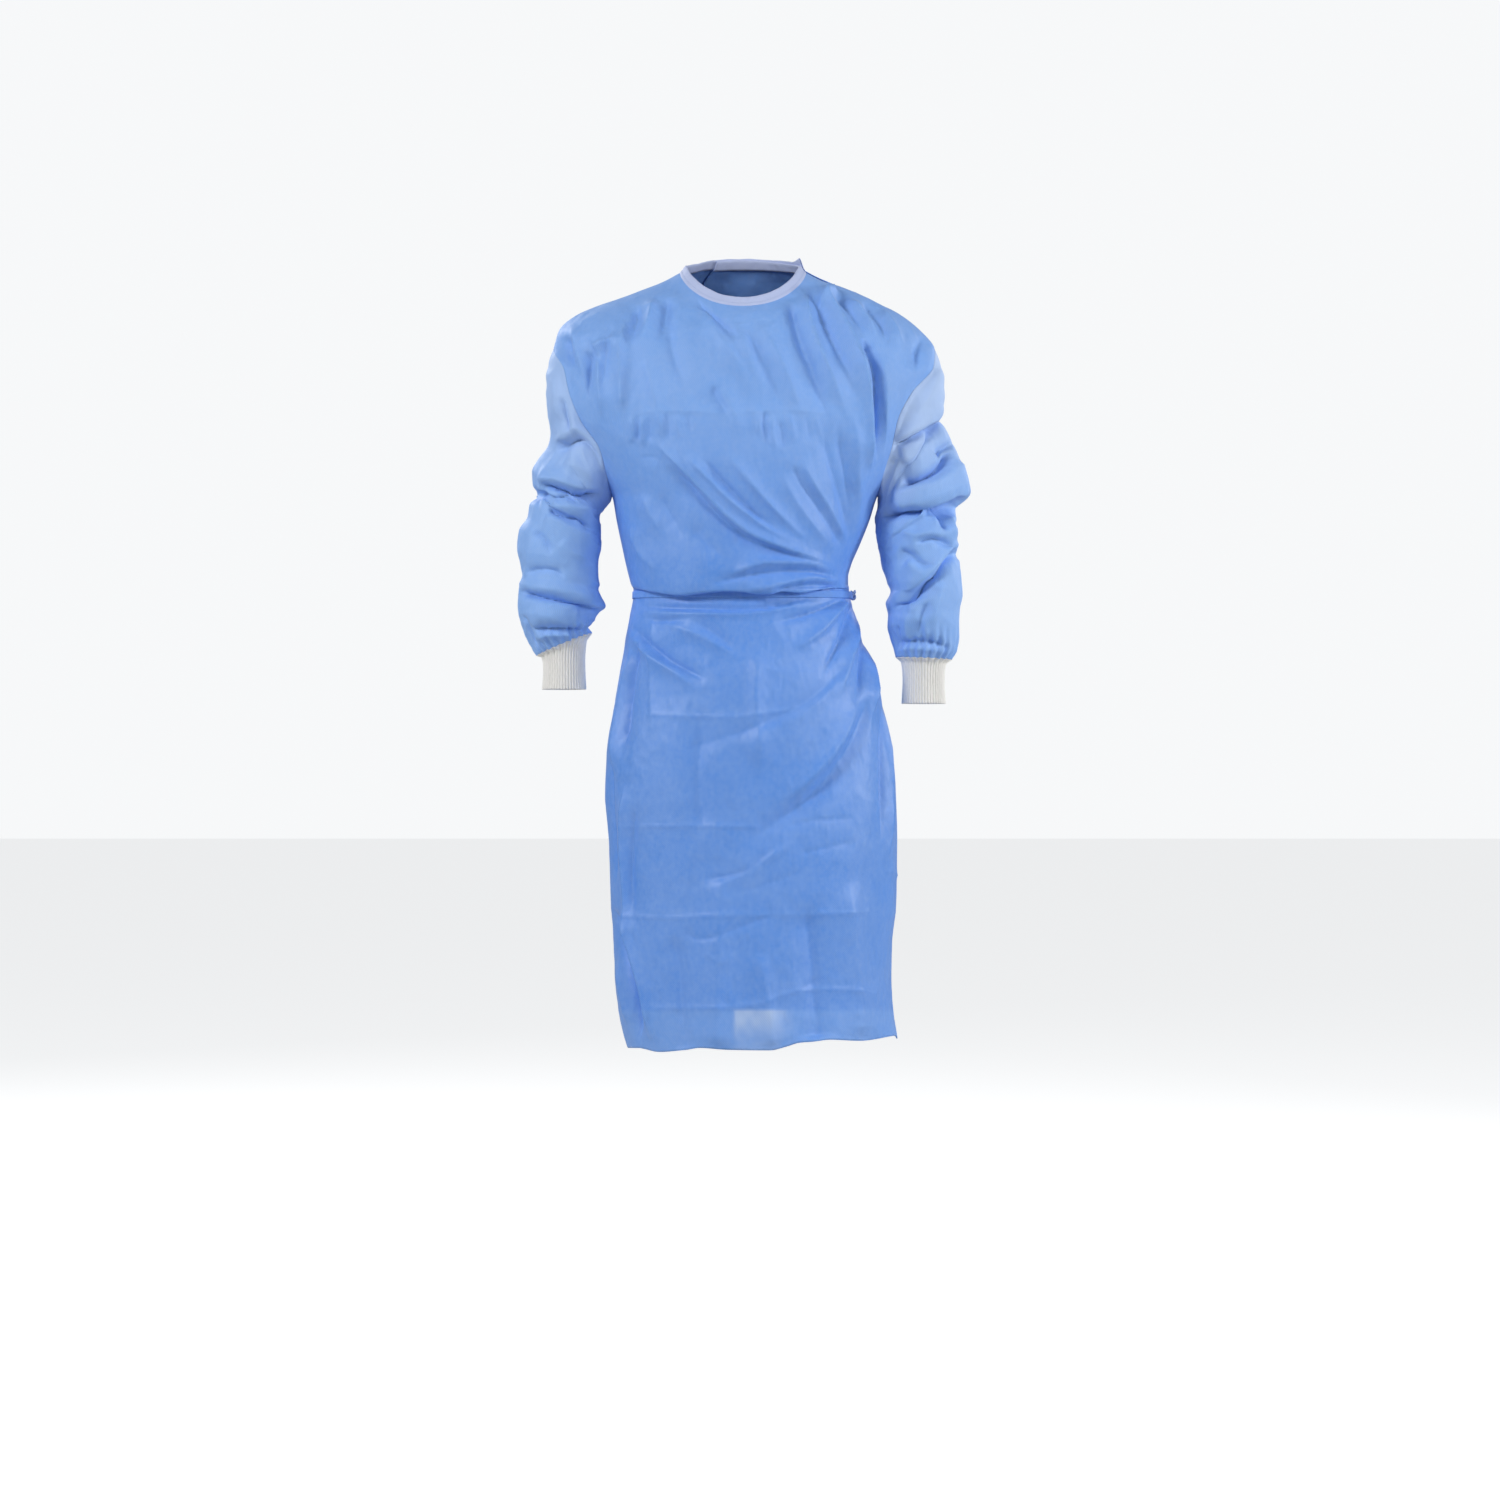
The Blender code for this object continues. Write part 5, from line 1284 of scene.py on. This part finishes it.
def noise(tree, source, place, scale, detail=4.0, rough=0.6, stretch=(1, 1, 1), kind="FBM"):
    """A noise pattern on the piece's own coordinates, drawn out by the given stretch."""
    mapping = add_node(tree, "ShaderNodeMapping", (place[0] - 200, place[1]))
    mapping.inputs["Scale"].default_value = stretch
    made = add_node(tree, "ShaderNodeTexNoise", place, noise_type=kind)
    made.inputs["Scale"].default_value = scale
    made.inputs["Detail"].default_value = detail
    made.inputs["Roughness"].default_value = rough
    tree.links.new(source, mapping.inputs["Vector"])
    tree.links.new(mapping.outputs["Vector"], made.inputs["Vector"])
    return made.outputs["Fac"]


def blend_colour(tree, place, factor, first, second, mode="MIX"):
    """Two colours mixed by a factor, each a value or another node's output."""
    made = add_node(tree, "ShaderNodeMix", place, data_type="RGBA", blend_type=mode)
    for socket, value in (("Factor", factor), ("A", first), ("B", second)):
        found = [s for s in made.inputs if s.name == socket and s.enabled][0]
        if hasattr(value, "is_output"):
            tree.links.new(value, found)
        else:
            found.default_value = value
    return [s for s in made.outputs if s.enabled][0]


def spread(tree, place, value, low, high, to_low=0.0, to_high=1.0):
    """The value drawn from one range to another and kept within it."""
    made = add_node(tree, "ShaderNodeMapRange", place, clamp=True)
    tree.links.new(value, made.inputs["Value"])
    ends = {"From Min": low, "From Max": high, "To Min": to_low, "To Max": to_high}
    for socket, number in ends.items():
        made.inputs[socket].default_value = number
    return made.outputs["Result"]


def times(tree, place, first, second):
    """One value times another."""
    made = add_node(tree, "ShaderNodeMath", place, operation="MULTIPLY")
    tree.links.new(first, made.inputs[0])
    tree.links.new(second, made.inputs[1])
    return made.outputs["Value"]


def field(tree, place, name):
    """The value with that name on the piece's points."""
    made = add_node(tree, "ShaderNodeAttribute", place, attribute_name=name)
    return made.outputs["Fac"]


def bump(tree, place, height, strength, distance, below=None):
    """Fine relief from a pattern, on top of the relief below it."""
    made = add_node(tree, "ShaderNodeBump", place)
    made.inputs["Strength"].default_value = strength
    made.inputs["Distance"].default_value = distance
    tree.links.new(height, made.inputs["Height"])
    if below is not None:
        tree.links.new(below, made.inputs["Normal"])
    return made.outputs["Normal"]


def cloth_place(tree, place):
    """Where a point lies on the flat cloth, in metres along and down it."""
    joined = add_node(tree, "ShaderNodeCombineXYZ", place)
    for socket, name in (("X", "along"), ("Y", "down")):
        tree.links.new(field(tree, (place[0] - 200, place[1]), name), joined.inputs[socket])
    return joined.outputs["Vector"]


def bond_points(tree, place, pitch):
    """A diagonal grid of small round pressed dots, 1 at each dot and 0 between them."""
    mapping = add_node(tree, "ShaderNodeMapping", (place[0] - 200, place[1]))
    mapping.inputs["Rotation"].default_value = (0, 0, math.pi / 4)
    dots = add_node(tree, "ShaderNodeTexVoronoi", place, voronoi_dimensions="2D")
    dots.inputs["Scale"].default_value = 1 / pitch
    dots.inputs["Randomness"].default_value = 0.0
    tree.links.new(cloth_place(tree, (place[0] - 400, place[1])), mapping.inputs["Vector"])
    tree.links.new(mapping.outputs["Vector"], dots.inputs["Vector"])
    return spread(tree, (place[0] + 200, place[1]), dots.outputs["Distance"], 0.18, 0.34, 1.0, 0.0)


def nonwoven(name, colour, deep, pale, rough):
    """Blue spunbond nonwoven: cloudy fibres, pressed bonding dots, a fine crinkle and painted
    light.
    """
    made, tree, shader = new_material(name)
    place = add_node(tree, "ShaderNodeTexCoord", (-1900, 0)).outputs["Object"]
    cloud = noise(tree, place, (-1200, 300), 14.0, 3.0, 0.55)
    mottle = noise(tree, place, (-1200, 50), 150.0, 5.0, 0.65, (1, 1, 0.85))
    fibre = noise(tree, place, (-1200, -200), 1300.0, 2.0, 0.7, (1, 1, 0.3))
    crinkle = noise(tree, place, (-1200, -450), 38.0, 4.0, 0.55, (1, 1, 0.8), "RIDGED_MULTIFRACTAL")
    wrinkle = noise(tree, place, (-1200, -950), 85.0, 3.0, 0.6, (1, 1, 0.45), "RIDGED_MULTIFRACTAL")
    dots = bond_points(tree, (-1200, -700), BOND_PITCH)
    film = field(tree, (-1200, 520), "film")
    light = field(tree, (-1200, 660), "pale")
    colour_in = blend_colour(tree, (-800, 400), film, (*colour, 1), (*deep, 1))
    cloudy = spread(tree, (-1000, 250), cloud, 0.3, 0.7, 0.0, 0.11)
    colour_in = blend_colour(tree, (-600, 400), cloudy, colour_in, (*pale, 1))
    mottled = spread(tree, (-1000, 60), mottle, 0.35, 0.7, 0.0, 0.14)
    colour_in = blend_colour(tree, (-400, 400), mottled, colour_in, (*pale, 1))
    # Painted light: the "pale" field draws the colour towards the pale colour where light shows
    # through the thin cloth, and on the knot, which lies in shade.
    colour_in = blend_colour(tree, (-200, 400), light, colour_in, (*pale, 1))
    dotted = spread(tree, (-800, -700), dots, 0.0, 1.0, 1.0, 0.86)
    shade = add_node(tree, "ShaderNodeCombineColor", (-400, 150))
    for socket in ("Red", "Green", "Blue"):
        tree.links.new(dotted, shade.inputs[socket])
    colour_in = blend_colour(tree, (0, 400), 1.0, colour_in, shade.outputs["Color"], "MULTIPLY")
    tree.links.new(colour_in, shader.inputs["Base Color"])
    gloss = spread(tree, (-600, 100), film, 0.0, 1.0, rough + BARE_CLOTH_ROUGHER, rough)
    uneven = spread(tree, (-600, 0), mottle, 0.3, 0.7, 0.92, 1.1)
    gloss = times(tree, (-400, 50), gloss, uneven)
    tree.links.new(gloss, shader.inputs["Roughness"])
    between = spread(tree, (-800, -550), dots, 0.0, 1.0, 1.0, 0.0)
    height = bump(tree, (-600, -150), fibre, 0.12, 0.0004)
    height = bump(tree, (-400, -150), between, 0.25, 0.0002, height)
    height = bump(tree, (-200, -150), mottle, 0.20, 0.0010, height)
    height = bump(tree, (0, -150), wrinkle, 0.5, 0.0020, height)
    height = bump(tree, (200, -150), crinkle, 0.5, 0.0032, height)
    tree.links.new(height, shader.inputs["Normal"])
    shader.inputs["Specular IOR Level"].default_value = 0.5
    shader.inputs["Sheen Weight"].default_value = 0.04
    shader.inputs["Sheen Roughness"].default_value = 0.5
    return made


def knit(name, colour, shade):
    """Ribbed cotton knit: columns of slanted stitches, soft fuzz and painted shade in the valleys
    between the ribs.
    """
    made, tree, shader = new_material(name)
    place = add_node(tree, "ShaderNodeTexCoord", (-1600, 0)).outputs["Object"]
    yarn = noise(tree, place, (-900, 200), 420.0, 4.0, 0.65, (1, 1, 0.5))
    soft = noise(tree, place, (-900, -50), 60.0, 3.0, 0.5)
    rows = add_node(tree, "ShaderNodeTexWave", (-900, -300), bands_direction="DIAGONAL")
    rows.inputs["Scale"].default_value = 1 / KNIT_PITCH / 10
    rows.inputs["Distortion"].default_value = 1.5
    tree.links.new(cloth_place(tree, (-1200, -300)), rows.inputs["Vector"])
    tone = spread(tree, (-700, 200), yarn, 0.2, 0.7, 0.75, 1.0)
    mixed = blend_colour(tree, (-450, 250), tone, (*shade, 1), (*colour, 1))
    # Painted shade: the valleys between the ribs are darkened towards the shade tone.
    rib_valley_shade = spread(tree, (-650, 420), field(tree, (-900, 420), "ridge"), 0.0, 0.6, 0.35, 0.0)
    mixed = blend_colour(tree, (-250, 300), rib_valley_shade, mixed, (*shade, 1))
    tree.links.new(mixed, shader.inputs["Base Color"])
    height = bump(tree, (-650, -100), yarn, 0.18, 0.0006)
    height = bump(tree, (-450, -100), rows.outputs["Fac"], 0.4, 0.0006, height)
    height = bump(tree, (-250, -100), soft, 0.2, 0.001, height)
    tree.links.new(height, shader.inputs["Normal"])
    fuzz = spread(tree, (-450, -250), yarn, 0.2, 0.7, 0.97, 0.82)
    tree.links.new(fuzz, shader.inputs["Roughness"])
    shader.inputs["Sheen Weight"].default_value = 0.2
    return made


def thread(name, colour):
    """Spun polyester thread: a soft shine and a fine twist along it."""
    made, tree, shader = new_material(name)
    place = add_node(tree, "ShaderNodeTexCoord", (-1200, 0)).outputs["Object"]
    twist = noise(tree, place, (-700, 0), 2600.0, 2.0, 0.6)
    tone = spread(tree, (-500, 150), twist, 0.3, 0.7, 0.0, 0.35)
    darker = tuple(0.6 * channel for channel in colour)
    mixed = blend_colour(tree, (-250, 250), tone, (*colour, 1), (*darker, 1))
    tree.links.new(mixed, shader.inputs["Base Color"])
    tree.links.new(bump(tree, (-250, -100), twist, 0.5, 0.0002), shader.inputs["Normal"])
    shine = spread(tree, (-250, -250), twist, 0.3, 0.7, 0.48, 0.66)
    tree.links.new(shine, shader.inputs["Roughness"])
    return made


class GownSettings(bpy.types.PropertyGroup):
    """The sizes and colours that a user of the gown would change."""

    step: bpy.props.FloatProperty(
        name="Cloth step",
        description="Distance between the cloth's points",
        default=0.0029,
        unit="LENGTH",
    )
    shell: bpy.props.FloatProperty(
        name="Cloth thickness",
        description="Thickness of the cloth's shell",
        default=0.0009,
        unit="LENGTH",
    )
    cloth: bpy.props.FloatVectorProperty(
        name="Cloth colour",
        description="Colour of the bare cloth of the body",
        default=(0.192, 0.402, 0.870),
        subtype="COLOR",
    )
    film: bpy.props.FloatVectorProperty(
        name="Film colour",
        description="Colour of the film-backed cloth",
        default=(0.108, 0.300, 0.815),
        subtype="COLOR",
    )
    sleeve: bpy.props.FloatVectorProperty(
        name="Sleeve colour",
        description="Colour of the sleeves",
        default=(0.222, 0.438, 0.895),
        subtype="COLOR",
    )
    # The palest fibres' colour, which the painted light on the hem patch, the sleeves and the knot
    # also draws the cloth towards.
    pale: bpy.props.FloatVectorProperty(
        name="Fibre colour",
        description="Colour of the cloth's palest fibres",
        default=(0.46, 0.61, 0.90),
        subtype="COLOR",
    )
    binding: bpy.props.FloatVectorProperty(
        name="Binding colour",
        description="Colour of the tape round the neck",
        default=(0.49, 0.57, 0.85),
        subtype="COLOR",
    )
    knit: bpy.props.FloatVectorProperty(
        name="Knit colour",
        description="Colour of the knitted cuffs",
        default=(0.88, 0.87, 0.84),
        subtype="COLOR",
    )


def settings():
    """The gown's settings in this scene."""
    return bpy.context.scene.gown


def finish_named(name):
    """The gown's materials, each made once."""
    if name in bpy.data.materials:
        return bpy.data.materials[name]
    look = settings()
    if name == "Body nonwoven":
        return nonwoven(name, look.cloth, look.film, look.pale, CLOTH_ROUGHNESS)
    if name == "Sleeve nonwoven":
        return nonwoven(name, look.sleeve, look.sleeve, look.pale, CLOTH_ROUGHNESS)
    if name == "Binding tape":
        return nonwoven(name, look.binding, look.binding, TAPE_FIBRE_COLOUR, TRIM_ROUGHNESS)
    if name == "Belt nonwoven":
        return nonwoven(name, look.film, look.film, look.pale, TRIM_ROUGHNESS)
    if name == "Sewing thread":
        return thread(name, TAPE_THREAD_COLOUR)
    if name == "Cuff thread":
        return thread(name, CUFF_THREAD_COLOUR)
    if name == "Cuff knit":
        return knit(name, look.knit, KNIT_SHADE)
    raise ValueError(name)


def body_fields(view, front):
    """Where the cloth is film-backed, and where light shows through it."""
    across, down = view
    if not front:
        return {"film": np.full_like(down, BACK_TONE), "pale": np.zeros_like(down)}
    wave = 3 * np.sin(across / 23) + 2 * np.sin(across / 7.1)
    edge = ease((down - FILM_EDGE - wave) / FILM_EDGE_WIDTH)
    deeper = ease((down - FILM_EDGE) / FILM_DEEPENING)
    film = FILM_EDGE_SHARE * edge + (1 - FILM_EDGE_SHARE) * deeper
    film = film * (1 - BAND_PALENESS * ease((down - BAND_EDGE) / BAND_EDGE_WIDTH))
    # Painted light: the patch at the hem and its streaks are painted paler where light shows
    # through the thin cloth.
    sides = ease((across - PATCH_LEFT) / PATCH_LEFT_WIDTH)
    sides = sides * ease((PATCH_RIGHT - across) / PATCH_RIGHT_WIDTH)
    top = ease((down - BAND_EDGE) / PATCH_TOP_WIDTH)
    low = 1 - PATCH_FADE * ease((down - PATCH_FADE_TOP) / PATCH_FADE_WIDTH)
    streaks = lattice_noise(across / STREAK_SIZE[0], down / STREAK_SIZE[1], STREAK_SEED)
    streaks = STREAK_LEAST + (1 - STREAK_LEAST) * (0.5 + 0.5 * streaks)
    return {"film": film, "pale": sides * top * low * streaks}


def body_grids():
    """The body's three panels, each with its view, and the rows that they share, made once."""
    if "grids" not in STORE:
        step = settings().step / MM
        rows = body_rows(step)
        STORE["rows"] = rows
        STORE["grids"] = {
            "front": front_grid(rows, round(FRONT_SPAN / step)),
            "back_wrap": wrap_grid(rows, round(WRAP_SPAN / BACK_STEP)),
            "back_under": under_grid(rows, round(UNDER_SPAN / BACK_STEP)),
        }
    return STORE["grids"], STORE["rows"]


def panels_only():
    """The front, the inner back panel and the outer one, and the rows that they share."""
    grids, rows = body_grids()
    return *(grids[name][0] for name in ("front", "back_under", "back_wrap")), rows


class GOWN_OT_panels(bpy.types.Operator):
    """Adds the front, which the belt crosses, the outer back panel and the inner back panel"""

    bl_idname = "gown.panels"
    bl_label = "Body Panels"

    def execute(self, context):
        grids, rows = body_grids()
        belt = int(np.argmin(np.abs(rows - (BELT_TOP_RING + BELT_BOTTOM_RING) / 2)))
        finish = finish_named("Body nonwoven")
        stretches = [
            ("front", "front_bodice", slice(0, belt + 1)),
            ("front", "front_skirt", slice(belt, None)),
            ("back_wrap", "back_wrap_cloth", slice(None)),
            ("back_under", "back_under_cloth", slice(None)),
        ]
        for node, name, part in stretches:
            grid, view = grids[node]
            fields = body_fields([places[part] for places in view], node == "front")
            piece = add_cloth(name, grid[part], finish, settings().shell, fields=fields)
            dress(piece, node)
        return {"FINISHED"}


class GOWN_OT_sleeves(bpy.types.Operator):
    """Adds both sleeves, sewn to the armholes and gathered into the cuffs"""

    bl_idname = "gown.sleeves"
    bl_label = "Sleeves"

    def execute(self, context):
        grids, rows = body_grids()
        step = settings().step / MM * SLEEVE_FINENESS
        finish = finish_named("Sleeve nonwoven")
        for sleeve in SLEEVES:
            loop = armhole_loop(grids["front"][0], grids[sleeve.back][0], sleeve.column, rows)
            grid = sleeve_grid(sleeve, loop, step)
            STORE[sleeve.node] = grid
            down = np.linspace(0, 1, len(grid))[:, None] + np.zeros(grid.shape[:2])
            # Painted light: each sleeve's upper part is painted paler, fading down the sleeve.
            fade = ease(1 - down / SLEEVE_PALE_LENGTH) ** SLEEVE_PALE_POWER
            fields = {"film": 0 * down, "pale": sleeve.pale * fade + SLEEVE_PALE_LEAST}
            name = sleeve.node + "_cloth"
            piece = add_cloth(name, grid, finish, settings().shell, True, fields)
            dress(piece, sleeve.node)
        return {"FINISHED"}


class GOWN_OT_cuffs(bpy.types.Operator):
    """Adds the two knitted cuffs and the threads that sew them to the sleeves"""

    bl_idname = "gown.cuffs"
    bl_label = "Cuffs"

    def execute(self, context):
        finish = finish_named("Cuff knit")
        thread_finish = finish_named("Cuff thread")
        shell = settings().shell * CUFF_SHELLS
        for side in ("right", "left"):
            grid = cuff_grid(STORE["sleeve_" + side])
            node = "cuff_" + side
            # The ribs' profile, which paints shade into the valleys between them.
            ridge = 0.5 + 0.5 * np.cos(np.linspace(0, 2 * np.pi, grid.shape[1]) * CUFF_RIBS)
            fields = {"ridge": ridge[None] + np.zeros(grid.shape[:2])}
            piece = add_cloth(node + "_knit", grid, finish, shell, True, fields)
            dress(piece, node)
            out = unit((grid[1] - grid[1].mean(axis=0)) * (1, 1, 0))
            line = grid[1] + out * CUFF_SEAM.radius
            sewn = add_stitches(node + "_stitches", line, out, CUFF_SEAM, thread_finish)
            dress(sewn, node)
        return {"FINISHED"}


class GOWN_OT_trim(bpy.types.Operator):
    """Adds the folded tape round the neck with its stitches, the belt, its knot and free ends"""

    bl_idname = "gown.trim"
    bl_label = "Neck Tape and Belt"

    def execute(self, context):
        front, under, wrap, rows = panels_only()
        grid, out = tape_grid(front, under, wrap)
        shell = TAPE_SHELL * MM
        tape = add_cloth("neck_tape", grid, finish_named("Binding tape"), shell, turned=True)
        dress(tape, "neck_binding")
        line = grid[TAPE_STITCHED_LINE] + out * TAPE_SEAM.radius / 2
        sewn = add_stitches("neck_stitches", line, out, TAPE_SEAM, finish_named("Sewing thread"))
        dress(sewn, "neck_binding")
        finish = finish_named("Belt nonwoven")
        shell = settings().shell
        belt = add_cloth("belt_strip", belt_grid(front, under, wrap, rows), finish, shell, True)
        dress(belt, "belt")
        knot = knot_grid()
        # Painted highlight: the knot, which lies in shade, is painted pale through its "pale"
        # field.
        shape = grid_shape(knot, {"pale": np.full(knot.shape[:2], KNOT_PAINTED_HIGHLIGHT)})
        bmesh.ops.remove_doubles(shape, verts=shape.verts, dist=1e-6)
        bmesh.ops.recalc_face_normals(shape, faces=shape.faces)
        dress(add_piece("belt_knotted", shape, finish), "belt_knot")
        for end in TIE_ENDS:
            strip = add_cloth(end.name + "_strip", tie_grid(end, under, rows), finish, shell)
            dress(strip, end.name)
        return {"FINISHED"}


def add_floor():
    """A wide plain floor under the gown, which the camera sees as pale as the wall."""
    shape = bmesh.new()
    bmesh.ops.create_grid(shape, x_segments=1, y_segments=1, size=FLOOR_SIZE / 2)
    bmesh.ops.translate(shape, vec=(0, 0, FLOOR_HEIGHT * MM), verts=shape.verts)
    paint, tree, shader = new_material("Floor paint")
    shader.inputs["Base Color"].default_value = FLOOR_COLOUR
    shader.inputs["Roughness"].default_value = FLOOR_ROUGHNESS
    seen = add_node(tree, "ShaderNodeLightPath", (-500, -200))
    glow = spread(tree, (-250, -200), seen.outputs["Is Camera Ray"], 0.0, 1.0, 0.0, FLOOR_GLOW)
    shader.inputs["Emission Color"].default_value = FLOOR_GLOW_COLOUR
    tree.links.new(glow, shader.inputs["Emission Strength"])
    return add_piece("Floor", shape, paint)


def add_softbox(box):
    """A square soft light at its place, turned to its aim."""
    light = bpy.data.lights.new(box.name, "AREA")
    light.shape = "SQUARE"
    light.size = box.size
    light.energy = box.power
    made = bpy.data.objects.new(box.name, light)
    made.location = box.place
    way = np.array(box.aim, float) - np.array(box.place, float)
    turn = math.atan2(-way[0], way[1])
    tilt = math.acos(-way[2] / np.linalg.norm(way))
    made.rotation_euler = (tilt, 0, turn)
    bpy.context.scene.collection.objects.link(made)
    return made


def light_the_world(world):
    """A dim sky that lights the gown, behind which the camera sees a paler wall."""
    world.use_nodes = True
    tree = world.node_tree
    sky = tree.nodes["Background"]
    sky.inputs["Color"].default_value = SKY_COLOUR
    sky.inputs["Strength"].default_value = SKY_STRENGTH
    wall = add_node(tree, "ShaderNodeBackground", (0, -200))
    wall.inputs["Color"].default_value = WALL_COLOUR
    wall.inputs["Strength"].default_value = 1.0
    seen = add_node(tree, "ShaderNodeLightPath", (0, 300))
    either = add_node(tree, "ShaderNodeMixShader", (300, 0))
    tree.links.new(seen.outputs["Is Camera Ray"], either.inputs[0])
    tree.links.new(sky.outputs["Background"], either.inputs[1])
    tree.links.new(wall.outputs["Background"], either.inputs[2])
    tree.links.new(either.outputs["Shader"], tree.nodes["World Output"].inputs["Surface"])


def add_camera():
    """The camera at its place, level, and looking along the gown's depth."""
    camera = bpy.data.cameras.new("Camera")
    camera.sensor_width = SENSOR_WIDTH
    camera.lens = camera.sensor_width * -CAMERA_PLACE[1] / VIEW_SPAN
    made = bpy.data.objects.new("Camera", camera)
    made.location = np.array(CAMERA_PLACE) * MM
    made.rotation_euler = (math.pi / 2, 0, 0)
    bpy.context.scene.collection.objects.link(made)
    bpy.context.scene.camera = made
    return made


class GOWN_OT_stage(bpy.types.Operator):
    """Adds the pale floor, the soft lights and the camera"""

    bl_idname = "gown.stage"
    bl_label = "Stage"

    def execute(self, context):
        add_floor()
        for box in SOFTBOXES:
            add_softbox(box)
        context.scene.world = context.scene.world or bpy.data.worlds.new("World")
        light_the_world(context.scene.world)
        context.scene.view_settings.view_transform = "Standard"
        add_camera()
        return {"FINISHED"}


class GOWN_PT_sidebar(bpy.types.Panel):
    """Lists the gown's settings and the steps that build it"""

    bl_label = "Surgical Gown"
    bl_idname = "GOWN_PT_sidebar"
    bl_space_type = "VIEW_3D"
    bl_region_type = "UI"
    bl_category = "Gown"

    def draw(self, context):
        for name in GownSettings.__annotations__:
            self.layout.prop(context.scene.gown, name)
        for step in STEPS:
            self.layout.operator(step.bl_idname)


STEPS = (GOWN_OT_panels, GOWN_OT_sleeves, GOWN_OT_cuffs, GOWN_OT_trim, GOWN_OT_stage)
CLASSES = (GownSettings, *STEPS, GOWN_PT_sidebar)


def register():
    """Makes the settings, the steps and the sidebar known to Blender."""
    for part in CLASSES:
        bpy.utils.register_class(part)
    bpy.types.Scene.gown = bpy.props.PointerProperty(type=GownSettings)


def unregister():
    """Takes them out again."""
    del bpy.types.Scene.gown
    for part in reversed(CLASSES):
        bpy.utils.unregister_class(part)


def main():
    """Builds the gown step by step."""
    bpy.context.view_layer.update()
    register()
    bpy.ops.gown.panels()
    bpy.ops.gown.sleeves()
    bpy.ops.gown.cuffs()
    bpy.ops.gown.trim()
    bpy.ops.gown.stage()


if __name__ == "__main__":
    main()
